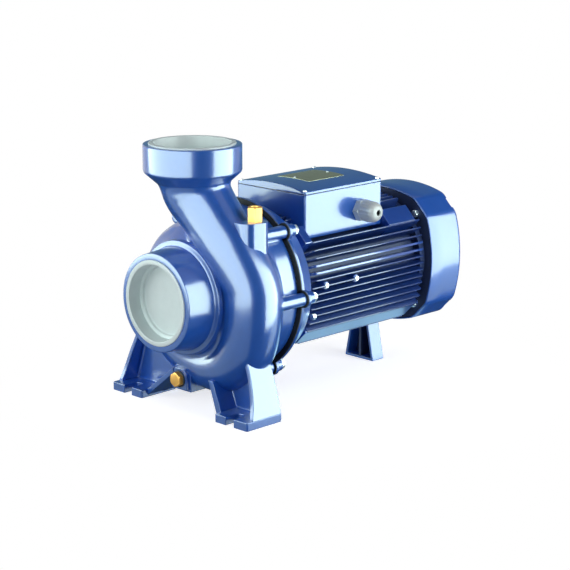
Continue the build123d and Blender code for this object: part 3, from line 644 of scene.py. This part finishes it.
cup = {
    # distance out of the port and radius, from the middle of the dish to the middle of its back
    "outline": [(-22, 0), (-22, 47.2), (-18.6, 48.6), (-17.8, 53.0), (2.0, 53.4), (2.0, 60.0), (0, 60.0),
                (0, 56.2), (-24, 56.2), (-24, 0)],
    "rounding": [0, 1.2, 0.6, 1.0, 0.7, 0.9, 0, 0.4, 1, 0],
}
cupOutline = rounded(cup["outline"], cup["rounding"], 3, closed=False)
cupOutline[0, 1] = cupOutline[-1, 1] = pole
makePiece("suctionCup", [turned(cupOutline, 128, "-x")], "capPolythene", stands=["suction_port_plug"])
collarTop = (casting["collarStation"], 0, nozzles["dischargeTop"])
makePiece("dischargeCup", [turned(cupOutline, 128, "z", collarTop)], "capPolythene",
          stands=["discharge_port_plug"])
print("plugs and cups turned")


# joint flange with its lugs, gasket and bolts

flange = {
    "face": 158.0, "rim": 163.0, "rimRadius": 125.0, "coneFront": (164.5, 121.8), "coneBack": (190.0, 111.0),
    "shoulder": (195.0, 102.0), "neckStart": 196.0, "neckRadius": 95.0, "end": 205.0,
    "lugRadius": 12.5, "seatStep": 1.4, "seatRadius": 9.0, "seatTop": 174.0,
    "gasket": (156.8, 158.1), "gasketRadius": 124.6, "gasketLug": 12.2,
    "washerRadius": 8.2, "washer": 1.4, "boltFlats": 13.0, "boltHead": 6.5,
}
face, rim, end = flange["face"], flange["rim"], flange["end"]
flangeOutline = rounded(
    [(face, 0), (face, flange["rimRadius"]), (rim, flange["rimRadius"]), flange["coneFront"],
     flange["coneBack"], flange["shoulder"], (flange["neckStart"], flange["neckRadius"]),
     (end, flange["neckRadius"]), (end, 0)],
    [0, 0.7, 1.2, 1.0, 3.5, 3, 3, 1.2, 0], 4, closed=False)
flangeOutline[0, 1] = flangeOutline[-1, 1] = pole
gasketFront, gasketBack = flange["gasket"]
flangeShells, boltShells = [turned(flangeOutline, 180)], []
gasketShells = [turned([(gasketFront, 1), (gasketFront, flange["gasketRadius"]),
                        (gasketBack, flange["gasketRadius"]), (gasketBack, 1)], 144)]
lug = rounded([(face, 1), (face, flange["lugRadius"]), (rim, flange["lugRadius"]),
               (rim + flange["seatStep"], flange["seatRadius"]), (flange["seatTop"], flange["seatRadius"]),
               (flange["seatTop"], 1)], [0, 0.7, 1.0, 1.0, 0.8, 0], 3, closed=False)
washer = rounded([(-1, 1), (-1, flange["washerRadius"]), (flange["washer"], flange["washerRadius"]),
                  (flange["washer"], 1)], [0, 0, 0.5, 0], 2, closed=False)
for angle in casting["bossAngles"]:
    at, seat = bossAt(0, angle), bossAt(flange["seatTop"], angle)
    flangeShells.append(turned(lug, 48, at=at))
    gasketShells.append(turned([(side, flange["gasketLug"]) for side in flange["gasket"]], 32, at=at))
    boltShells += [turned(washer, 32, at=seat),
                   hexHead("x", seat, flange["boltFlats"], 0.5, flange["boltHead"], twist=angle)]
makePiece("jointFlange", flangeShells, "castFlangeEnamel", stands=["motor_flange"])
makePiece("jointGasket", gasketShells, "gasketRubber", stands=["casing_gasket"])
makePiece("flangeBolts", boltShells, "zincPlatedSteel",
          stands=[f"flange_bolt_{number}" for number in range(1, 7)])
print("flange bolted")


# finned motor frame

motor = {
    "start": 205.0, "end": 448.0, "core": 76.0, "root": 70.0, "pitch": 6.15, "sideFins": 13, "topFins": 9,
    "rootHalf": 2.0, "tipHalf": 1.2, "tipCrown": 0.6, "reach": 96.0, "lead": 5.0, "trail": 2.5,
    "thickTips": (8, 9), "thickHalf": 1.8, "thickCrown": 0.25,    # two fins of each side, counted from below
    "longAbove": 6.0, "longLead": 15.0, "longStart": 4.0,    # above this angle fins start later, rise slower
    # rails at the corners, pad below, screws on the near side, tie bolts and studs
    "railReach": 106.0, "railHalf": 15.0, "railFoot": 68.0, "railEnd": 439.0, "boxGap": (219.2, 381.3),
    "pad": (221.0, 446.0), "padHalf": 60.0, "padLow": 55.5, "padHeights": (70.0, 92.0),
    "screws": (238.7, 300.9), "screwReach": 93.0, "screwRadius": 3.9, "screwHead": 3.0,
    "tieSeat": 458.0, "tieReach": 98.0, "tieFlats": 10.0, "tieHead": 5.0,
    "studAcross": 98.0, "studHeight": 121.0, "studFlats": 8.0,
}
cowl = {
    # half is to the middle of a bulged side, shoulder and corner are to where it meets a flat corner
    "start": 456.8, "end": 526.6, "half": 103.5, "corner": 67.2, "shoulder": 92.5, "wall": 2.5, "ease": 2.6,
    "notchHalf": 9.0, "notchLength": 6.0, "notchDepth": 7.0, "opening": 87.0, "flat": 97.0, "count": 360,
    "bands": [(0.5, 22.0), (27.0, 34.0), (39.0, 46.0), (51.0, 58.0), (63.0, 70.0), (75.0, 82.0)],
    "bars": 4, "barHalf": 3.5, "barReach": 88.0,
}
diagonals = (45, 135, 225, 315)


def sideReach(folded, half):
    # distance to the bulged side at an angle from its middle: a circle through its middle and shoulders
    bulge = cowl["half"] - cowl["shoulder"]
    radius = (cowl["corner"] ** 2 + bulge ** 2) / (2 * bulge)
    centre = radius - half
    return -centre * np.cos(folded) + np.sqrt(radius ** 2 - (centre * np.sin(folded)) ** 2)


def around(angle):
    # the angle from the nearest side's middle
    return (angle + np.pi / 4) % (np.pi / 2) - np.pi / 4


def turnedAbout(points, angle):
    # (station, out, across) points turned about the shaft
    x, out, across = np.moveaxis(np.asarray(points, float), -1, 0)
    return np.stack([x, out * math.cos(angle) - across * math.sin(angle),
                     shaftHeight + out * math.sin(angle) + across * math.cos(angle)], -1)


def finRows(angle, start, tipHalf=motor["tipHalf"], crown=motor["tipCrown"]):
    # slices along the shaft: a tapered blade whose tip is half an oval of height crown times its half width,
    # and whose reach grows over its lead as a quarter oval
    core, root, end = motor["core"], motor["root"], motor["end"]
    full = sideReach(around(angle), motor["reach"])
    lead = motor["longLead"] if start > motor["start"] else motor["lead"]
    steps = np.array([0, 0.06, 0.2, 0.42, 0.7, 1.0])
    stations = np.concatenate([start + lead * steps, [end - motor["trail"], end]])
    reach = np.concatenate([core + (full - core) * np.sqrt(1 - (1 - steps) ** 2), [full, full - 1.5]])
    turn = np.linspace(-np.pi / 2, np.pi / 2, 7)
    up = np.concatenate([[0], np.ones(len(turn)), [0]])
    across = np.concatenate([[-motor["rootHalf"]], tipHalf * np.sin(turn), [motor["rootHalf"]]])
    tip = np.concatenate([[0], crown * tipHalf * (np.cos(turn) - 1), [0]])
    out = root + (reach[:, None] - root) * up + tip
    stations, across = np.broadcast_to(stations[:, None], out.shape), np.broadcast_to(across, out.shape)
    return turnedAbout(np.stack([stations, out, across], -1), angle)


# the core between the fins takes the dark finish: painted shade where the fins hide it
makePiece("motorCore", [turned([(motor["start"], motor["core"]), (motor["end"] - 0.4, motor["core"])], 144)],
          "paintedShadeEnamel")
finShells, thickShells = [], []
for count in range(motor["sideFins"]):
    offset = (count - (motor["sideFins"] - 1) / 2) * motor["pitch"]
    start = motor["start"] + (motor["longStart"] if offset > motor["longAbove"] else 0.0)
    for angle in (offset, 180 - offset):
        if count in motor["thickTips"]:
            rows = finRows(math.radians(angle), start, motor["thickHalf"], motor["thickCrown"])
            thickShells.append(shell(rows))
        else:
            finShells.append(shell(finRows(math.radians(angle), start)))
# all but the thick fins take the navy fin finish: painted shade between the fins
makePiece("motorFins", finShells, "finPaintedShadeEnamel", crease=40.0, stands=["motor_frame"])
makePiece("thickFins", thickShells, "castFrameEnamel", crease=40.0)
topShells = []
for count in range(motor["topFins"]):
    angle = math.radians(90 + (count - (motor["topFins"] - 1) / 2) * motor["pitch"])
    ahead, behind = finRows(angle, motor["start"]), finRows(angle, motor["start"])
    ahead[:, :, 0] = np.minimum(ahead[:, :, 0], motor["boxGap"][0])
    behind[:, :, 0] = np.maximum(behind[:, :, 0], motor["boxGap"][1])
    topShells += [shell(ahead), shell(behind)]
# the top fins take the same navy fin finish: painted shade between the fins
makePiece("topFins", topShells, "finPaintedShadeEnamel", crease=40.0)

railFoot, railReach, railHalf = motor["railFoot"], motor["railReach"], motor["railHalf"]
railOutline = rounded([(railFoot, -railHalf), (railReach, -railHalf), (railReach, railHalf),
                       (railFoot, railHalf)], [0, 2, 2, 0], 4)
railShells = []
for angle in diagonals:
    spans = [(motor["start"], motor["railEnd"])]
    if angle < 180:    # the box stands between the upper ones
        spans = [(motor["start"], motor["boxGap"][0]), (motor["boxGap"][1], motor["railEnd"])]
    railShells += [shell(turnedAbout(prism(railOutline, *span), math.radians(angle))) for span in spans]
narrow, wide, (low, high) = motor["padLow"], motor["padHalf"], motor["padHeights"]
padOutline = [(-narrow, low), (narrow, low), (wide, high), (-wide, high)]
makePiece("frameRails", railShells, "castFrameEnamel", bevel=0.8)
makePiece("framePad", [drawn(padOutline, *motor["pad"])], "castFrameEnamel", bevel=0.8)

pan = rounded([(-2, 0.3), (-2, motor["screwRadius"]), (motor["screwHead"] - 0.2, motor["screwRadius"]),
               (motor["screwHead"], 0.3)], [0, 0, 1.6, 0], 5, closed=False)
bossOutline = [(-16, 5.6), (-0.6, 5.6), (0, 5.0)]
screwsAt = [(station, -motor["screwReach"], shaftHeight) for station in motor["screws"]]
makePiece("frameScrews", [turned(pan, 32, "-y", at) for at in screwsAt], "zincPlatedSteel",
          stands=["frame_screws"])
makePiece("screwBosses", [turned(bossOutline, 32, "-y", at) for at in screwsAt], "castFrameEnamel")
tieShells = []
for angle in diagonals:
    at = turnedAbout((motor["tieSeat"], motor["tieReach"], 0), math.radians(angle))
    tieShells.append(hexHead("-x", at, motor["tieFlats"], -1, motor["tieHead"], chamfer=0.8))
for side in (-1, 1):
    at = (motor["start"], side * motor["studAcross"], motor["studHeight"])
    tieShells.append(hexHead("x", at, motor["studFlats"], -1, motor["tieHead"], chamfer=0.7))
makePiece("tieBolts", tieShells, "zincPlatedSteel", stands=[f"tie_bolt_{number}" for number in range(1, 5)])
print("motor frame finned")


# pressed fan cowl with its grille

def cowlReach(angle):
    # the nearer of the bulged side and the flat corner, eased where they meet
    folded = around(angle)
    flat = (cowl["shoulder"] + cowl["corner"]) / math.sqrt(2) / np.cos(np.pi / 4 - np.abs(folded))
    return smoothUnion(sideReach(folded, cowl["half"]), flat, cowl["ease"])


def cowlSkin():
    # one closed loop of rings, each a reach at a station: from the front hem over the sides, round the rear
    # edge to the opening, and back inside. Along the edge the corners are cut back by the notch's depth
    start, end, wall, opening = cowl["start"], cowl["end"], cowl["wall"], cowl["opening"]
    turn = np.arange(cowl["count"]) * 2 * np.pi / cowl["count"]
    outline, even = cowlReach(turn), np.ones(cowl["count"])
    corner = (cowl["shoulder"] + cowl["corner"]) / math.sqrt(2)
    notch = np.pi / 4 - np.abs(around(turn)) < cowl["notchHalf"] / corner
    deep, shallow = end - cowl["notchLength"], cowl["notchLength"] + 0.6
    sides = [(start, 1.3), (start + 0.5, 0.4), (start + 1.4, 0), (start + 30, 0), (end - shallow, 0)]
    edge = [(deep, 0), (end - 4.6, 0.2), (end - 3, 0.8), (end - 1.6, 1.9), (end - 0.6, 3.4), (end, 5.6)]
    rear = [(end, cowl["flat"]), (end, opening + 0.7), (end - 0.7, opening), (end - wall, opening),
            (end - wall, cowl["flat"])]
    inner = [(deep - wall, wall + 7.0), (end - 12, wall), (start + 0.5, wall), (start, 1.9)]
    rings = [(station, outline - inset) for station, inset in sides]
    for station, inset in edge:
        reach = outline - inset
        rings.append((station, np.where(notch, np.minimum(reach, corner - cowl["notchDepth"]), reach)))
    rings += [(station, radius * even) for station, radius in rear]
    rings += [(station, outline - inset) for station, inset in inner]
    return np.stack([np.stack([station * even, reach * np.cos(turn), shaftHeight + reach * np.sin(turn)], -1)
                     for station, reach in rings])


makePiece("fanCowl", [shell(cowlSkin(), loop=True)], "sheetEnamel", crease=50.0, stands=["fan_cowl"])
grilleShells = []
deep, top = cowl["end"] - cowl["wall"], cowl["end"] - 0.1
for inner, outer in cowl["bands"]:
    band = rounded([(deep, inner), (top, inner), (top, outer), (deep, outer)], [0, 0.6, 0.6, 0], 3)
    grilleShells.append(turned(band, 96, loop=True))
long, half = cowl["barReach"], cowl["barHalf"]
bar = prism([(-long, -half), (long, -half), (long, half), (-long, half)], deep + 0.3, top - 0.1)
grilleShells += [shell(turnedAbout(bar, count * math.pi / cowl["bars"])) for count in range(cowl["bars"])]
makePiece("cowlGrille", grilleShells, "sheetEnamel")
print("cowl pressed")


# motor foot: a cast channel open to the front with one upright rib

motorFoot = {
    "front": 410.4, "rear": 434.5, "halfBase": 29.0, "halfTop": 15.0, "top": 71.0, "wall": 4.0, "corner": 1.2,
    "ribHalf": 2.0, "ribFoot": 2.0, "ribSetback": 1.5,
}


def footOutline(inset, low, high):
    # the foot's slanting sides moved in by the inset, between two heights
    slant = (motorFoot["halfBase"] - motorFoot["halfTop"]) / motorFoot["top"]
    base, top = (motorFoot["halfBase"] - slant * height - inset for height in (low, high))
    return rounded([(-base, low), (base, low), (top, high), (-top, high)], motorFoot["corner"], 3)


front, rear, top, wall = motorFoot["front"], motorFoot["rear"], motorFoot["top"], motorFoot["wall"]
outside = prism(footOutline(0, 0, top), front, rear)
inside = prism(footOutline(wall, wall, top - wall), front, rear)
channel = np.concatenate([outside, inside[::-1]])
foot, rib = motorFoot["ribFoot"], motorFoot["ribHalf"]
uprightOutline = [(-rib, foot), (rib, foot), (rib, top - foot), (-rib, top - foot)]
makePiece("motorFoot", [shell(put(channel, "x", origin), loop=True)], "sheetEnamel", bevel=0.6,
          stands=["motor_foot"])
# back wall and rib inside the channel take the dark finish: painted shade inside the foot
makePiece("motorFootInside", [drawn(footOutline(1.0, 1.0, top - 1.0), rear - wall, rear - 0.4),
                              drawn(uprightOutline, front + motorFoot["ribSetback"], rear - 1)],
          "paintedShadeEnamel", bevel=0.6)
print("motor foot cast")


# terminal box, its crowned lid, screws, bare plate and gland

box = {
    "front": 219.5, "rear": 381.0, "half": 69.0, "bottom": 225.3, "top": 288.4, "corner": 4.0,
    "lidLow": 289.4, "lidEdge": 3.0, "lidRim": 1.2, "crown": 6.6, "screwInset": 5.5, "screwRadius": 3.0,
    "plateMiddle": 303.0, "plateLength": 76.0, "plateWidth": 64.0, "plateCorner": 3.0, "plateRim": 0.25,
    "plateLow": 5.0, "proud": 0.35, "rivetRadius": 1.9, "rivetInset": 4.0,
}
gland = {
    "at": (334.5, -69.0, 252.5), "flats": 29.0, "base": 10.0, "flutes": 18, "fluteDepth": 0.045, "count": 144,
    # nut: distance out of the box, radius, share of the flutes' depth
    "nut": [(10, 4.2, 0), (10, 14.4, 0), (10.8, 15.2, 0), (12.5, 15.4, 0.2), (14, 15.4, 1), (22, 15.4, 1),
            (26, 15.2, 1), (29.5, 14.2, 0.7), (32.5, 12.4, 0.3), (34.8, 9.6, 0), (36, 6.6, 0), (36.2, 4.8, 0),
            (35.6, 4.2, 0)],
    "seal": [(11, 0.3), (11, 4.4), (34, 4.4), (34, 3.6), (16, 3.4), (16, 0.3)],
}


def rectangle(x0, x1, half, corner, inset):
    # the box's outline moved in by the inset, its corners keeping what is left of their radius
    x0, x1, half = x0 + inset, x1 - inset, half - inset
    ends = [(x0, -half), (x1, -half), (x1, half), (x0, half)]
    arcs = rounded(ends, max(corner - inset, 0.6), 6).reshape(4, 7, 2)
    sides = [np.vstack([arc, np.linspace(arc[-1], following[0], 14)[1:-1]])
             for arc, following in zip(arcs, np.roll(arcs, -1, 0))]
    return np.vstack(sides)


def crowned(x0, x1, half, corner, low, lift, rim):
    # rings of the outline moved inwards; each stands on z = edge + crown (1 - (y / half)^2), less its drop
    inwards = [(inset, 0) for inset in np.linspace(4, half - 1, 9)]
    rings = []
    for inset, drop in [(0, None), (0, rim), (0.3 * rim, 0.3 * rim), (rim, 0)] + inwards:
        ring = rectangle(x0, x1, half, corner, inset)
        z = box["lidLow"] + box["lidEdge"] + box["crown"] * (1 - (ring[:, 1] / box["half"]) ** 2) + lift
        z = np.full(len(ring), low) if drop is None else z - drop
        rings.append(np.column_stack([ring, z]))
    return rings


boxSides = (box["front"], box["rear"], box["half"], box["corner"])
makePiece("terminalBox", [drawn(rectangle(*boxSides, 0), box["bottom"], box["top"], "z")], "boxEnamel",
          bevel=0.8, stands=["terminal_box"])
makePiece("boxLid", [shell(crowned(*boxSides, box["lidLow"], 0.0, box["lidRim"]))], "boxEnamel",
          stands=["terminal_box_lid"])
plateEnds = [box["plateMiddle"] + side * box["plateLength"] / 2 for side in (-1, 1)]
makePiece("barePlate", [shell(crowned(*plateEnds, box["plateWidth"] / 2, box["plateCorner"],
                                      box["lidLow"] + box["plateLow"], box["proud"], box["plateRim"]))],
          "anodisedPlate", stands=["nameplate"])
lidTop = box["lidLow"] + box["lidEdge"]
dome = rounded([(-2, 0.3), (-2, box["screwRadius"]), (1.2, box["screwRadius"]), (2.0, 0.3)],
               [0, 0, 1.1, 0], 4, closed=False)
screwX = (box["front"] + box["screwInset"], box["rear"] - box["screwInset"])
screwY = box["half"] - box["screwInset"]
screwsAt = [(x, y, lidTop + 0.6) for x in screwX for y in (-screwY, screwY)]
makePiece("lidScrews", [turned(dome, 32, "z", at) for at in screwsAt], "zincPlatedSteel",
          stands=["lid_screws"])
rivet = [(-0.5, box["rivetRadius"]), (0.4, box["rivetRadius"]), (0.9, 1.2), (1.1, 0.3)]
rivetX = (plateEnds[0] + box["rivetInset"], plateEnds[1] - box["rivetInset"])
rivetsAt = [(x, 0, lidTop + box["crown"] + box["proud"]) for x in rivetX]
makePiece("plateRivets", [turned(rivet, 24, "z", at) for at in rivetsAt], "zincPlatedSteel")


def glandNut():
    # turned rows, with shallow flutes r (1 - depth (1 + cos n angle) / 2) round the grip
    turn = np.arange(gland["count"]) * 2 * np.pi / gland["count"]
    along, reach, fluted = (column[:, None] for column in np.array(gland["nut"], float).T)
    reach = reach * (1 - gland["fluteDepth"] * fluted * (1 + np.cos(gland["flutes"] * turn)) / 2)
    return np.stack([np.repeat(along, gland["count"], 1), reach * np.cos(turn), reach * np.sin(turn)], -1)


makePiece("glandBase", [hexHead("-y", gland["at"], gland["flats"], -2, gland["base"], chamfer=1.2)],
          "glandPolyamide", stands=["gland_body"])
makePiece("glandNut", [shell(put(glandNut(), "-y", gland["at"]), loop=True)], "glandPolyamide",
          stands=["gland_nut"])
sealOutline = rounded(gland["seal"], [0, 0, 0.3, 0.3, 0, 0], 3, closed=False)
makePiece("glandSeal", [turned(sealOutline, 48, "-y", gland["at"])], "gasketRubber", stands=["gland_seal"])
print("terminal box closed")


# floor, light and camera, in metres

studio = {
    "floorSize": 9.0, "floor": "#f2f3f5", "world": "#ffffff", "fill": 0.30,
    "glow": 0.6,              # added to the matt floor for the camera
    "clear": (0.08, 0.42),    # the floor passes into white between these distances from the middle
    "lampTint": "#e7fff7", "cardTint": "#9ccbe0",
}
white = toLinear(studio["world"])


def level(one, two, z):
    # corners of a level rectangle between two opposite ones
    (x0, y0), (x1, y1) = one, two
    return [(x0, y0, z), (x1, y0, z), (x1, y1, z), (x0, y1, z)]


def stageSheet(name, corners, material):
    # a flat sheet of the studio, which isn't part of the object
    mesh = bpy.data.meshes.new(name)
    mesh.from_pydata(corners, [], [(0, 1, 2, 3)])
    mesh.materials.append(material)
    sheet = bpy.data.objects.new(name, mesh)
    bpy.context.scene.collection.objects.link(sheet)
    return sheet


def seenDirectly(tree):
    # 1 for rays that show the background: the camera's, and those of gloss and glass
    rays = addNode(tree, "ShaderNodeLightPath").outputs
    either = addNode(tree, "ShaderNodeMath", {0: rays["Is Camera Ray"], 1: rays["Is Glossy Ray"]},
                     operation="MAXIMUM")
    anyOf = addNode(tree, "ShaderNodeMath", {0: either.outputs[0], 1: rays["Is Transmission Ray"]},
                    operation="MAXIMUM")
    return anyOf.outputs[0]


# pale matt floor with the object's shadow, passing into the white background further out
floorMaterial, tree, output, place = newMaterial("paleStudioFloor")
matt = addNode(tree, "ShaderNodeBsdfDiffuse", Color=toLinear(studio["floor"]))
glow = addNode(tree, "ShaderNodeEmission", Color=white, Strength=studio["glow"])
lit = addNode(tree, "ShaderNodeAddShader", {0: matt.outputs[0], 1: glow.outputs[0]})
clear = addNode(tree, "ShaderNodeEmission", Color=white, Strength=1.0)
reach = addNode(tree, "ShaderNodeVectorMath", {"Vector": place}, operation="LENGTH")
far = addNode(tree, "ShaderNodeMapRange", {"Value": reach.outputs["Value"]}, interpolation_type="SMOOTHSTEP",
              From_Min=studio["clear"][0], From_Max=studio["clear"][1])
shown = addNode(tree, "ShaderNodeMixShader", {0: far.outputs[0], 1: lit.outputs[0], 2: clear.outputs[0]})
ground = addNode(tree, "ShaderNodeMixShader",
                 {0: seenDirectly(tree), 1: matt.outputs[0], 2: shown.outputs[0]})
tree.links.new(ground.outputs[0], output.inputs["Surface"])
half = studio["floorSize"] / 2
floor = stageSheet("studioFloor", level((-half, -half), (half, half), 0), floorMaterial)
floor.visible_glossy = floor.visible_shadow = False

world = bpy.data.worlds.new("studioWorld")
bpy.context.scene.world = world
world.use_nodes = True
tree = world.node_tree
tree.nodes.clear()
dim = addNode(tree, "ShaderNodeBackground", Color=white, Strength=studio["fill"])
bright = addNode(tree, "ShaderNodeBackground", Color=white, Strength=1.0)
backdrop = addNode(tree, "ShaderNodeMixShader",
                   {0: seenDirectly(tree), 1: dim.outputs[0], 2: bright.outputs[0]})
addNode(tree, "ShaderNodeOutputWorld", {"Surface": backdrop.outputs[0]})

# Soft boxes: where they stand, what they face, width and height, brightness in watts per square metre and
# steradian (times pi and the area, the lamp's watts), and whether gloss or matt colour shows them. Gloss
# doesn't see the floor: the two low boxes, cardMotor and cardBelow stand for it there.
softBoxes = {
    "keyGloss": {"at": (0.445, -0.66, 0.29), "to": (0.445, 0.0, 0.29), "size": (1.15, 0.82),
                 "bright": 17.0, "shows": "gloss"},
    "fillGloss": {"at": (-0.66, 0.41, 0.53), "to": (0.0, 0.41, 0.53), "size": (1.78, 0.92),
                  "bright": 11.8, "shows": "gloss"},
    "lowGloss": {"at": (-0.66, 0.41, -0.2), "to": (0.0, 0.41, -0.2), "size": (1.78, 0.54),
                 "bright": 1.1, "shows": "gloss"},
    "lowKeyGloss": {"at": (0.75, -0.66, -0.35), "to": (0.75, 0.0, -0.35), "size": (1.1, 0.5),
                    "bright": 2.8, "shows": "gloss"},
    "keyMatt": {"at": (0.6, -2.2, 1.0), "to": (0.0, 0.0, 0.16), "size": (1.6, 1.4),
                "bright": 5.4, "shows": "matt"},
    "fillMatt": {"at": (-2.3, 0.85, 1.2), "to": (-0.1, 0.0, 0.16), "size": (1.6, 1.4),
                 "bright": 4.0, "shows": "matt"},
}
# Cards, as a studio stands them round a glossy thing, keep the white room out of its gloss: an upright one
# goes from foot to foot between two heights, a level one between two opposite corners
cards = {
    "cardBehind": {"feet": [(1.5, 0.1), (0.45, 1.1)], "heights": (0.002, 1.6), "bright": 0.45},
    "cardFront": {"feet": [(-0.64, -0.60), (-0.16, -0.68)], "heights": (-0.6, 1.2), "bright": 0.02},
    "cardHigh": {"feet": [(1.3, -1.5), (1.3, 0.1)], "heights": (0.85, 2.4), "bright": 0.10},
    "cardMotor": {"corners": [(0.02, -0.1), (0.265, 0.04)], "height": -0.002, "bright": 2.4},
    "cardBelow": {"corners": [(-3, -3), (3, 3)], "height": -0.62, "bright": 0.10},
}


def facing(start, end):
    # the turn that points a lamp or camera from one place at another
    return (Vector(end) - Vector(start)).to_track_quat("-Z", "Y").to_euler()


def addSoftBox(name):
    # a rectangle lamp, seen by gloss alone or by matt colour alone
    kind = softBoxes[name]
    light = bpy.data.lights.new(name, "AREA")
    light.shape = "RECTANGLE"
    light.size, light.size_y = kind["size"]
    light.energy = kind["bright"] * math.pi * kind["size"][0] * kind["size"][1]
    light.color = toLinear(studio["lampTint"])[:3] if kind["shows"] == "gloss" else (1.0, 1.0, 1.0)
    lamp = bpy.data.objects.new(name, light)
    bpy.context.scene.collection.objects.link(lamp)
    lamp.location = kind["at"]
    lamp.rotation_euler = facing(kind["at"], kind["to"])
    lamp.visible_camera = False
    lamp.visible_glossy = kind["shows"] == "gloss"
    lamp.visible_diffuse = kind["shows"] == "matt"


def addCard(name):
    # one flat sheet, seen only by rays of gloss
    card = cards[name]
    if "feet" in card:
        (one, two), (low, high) = card["feet"], card["heights"]
        corners = [(*one, low), (*two, low), (*two, high), (*one, high)]
    else:
        corners = level(*card["corners"], card["height"])
    material, tree, output, _ = newMaterial(name)
    felt = addNode(tree, "ShaderNodeEmission", Color=toLinear(studio["cardTint"]), Strength=card["bright"])
    tree.links.new(felt.outputs[0], output.inputs["Surface"])
    sheet = stageSheet(name, corners, material)
    sheet.visible_camera = sheet.visible_diffuse = sheet.visible_shadow = sheet.visible_transmission = False


for name in softBoxes:
    addSoftBox(name)
for name in cards:
    addCard(name)

view = {"at": (-1.7973, -1.7796, 0.7527), "to": (-0.0124, 0.0, 0.1429), "lens": 112.4, "sensor": 36.0}
camera = bpy.data.objects.new("camera", bpy.data.cameras.new("camera"))
bpy.context.scene.collection.objects.link(camera)
camera.data.lens, camera.data.sensor_width = view["lens"], view["sensor"]
camera.location = view["at"]
camera.rotation_euler = facing(view["at"], view["to"])
bpy.context.scene.camera = camera
bpy.context.scene.view_settings.view_transform = "Standard"
print("studio ready")
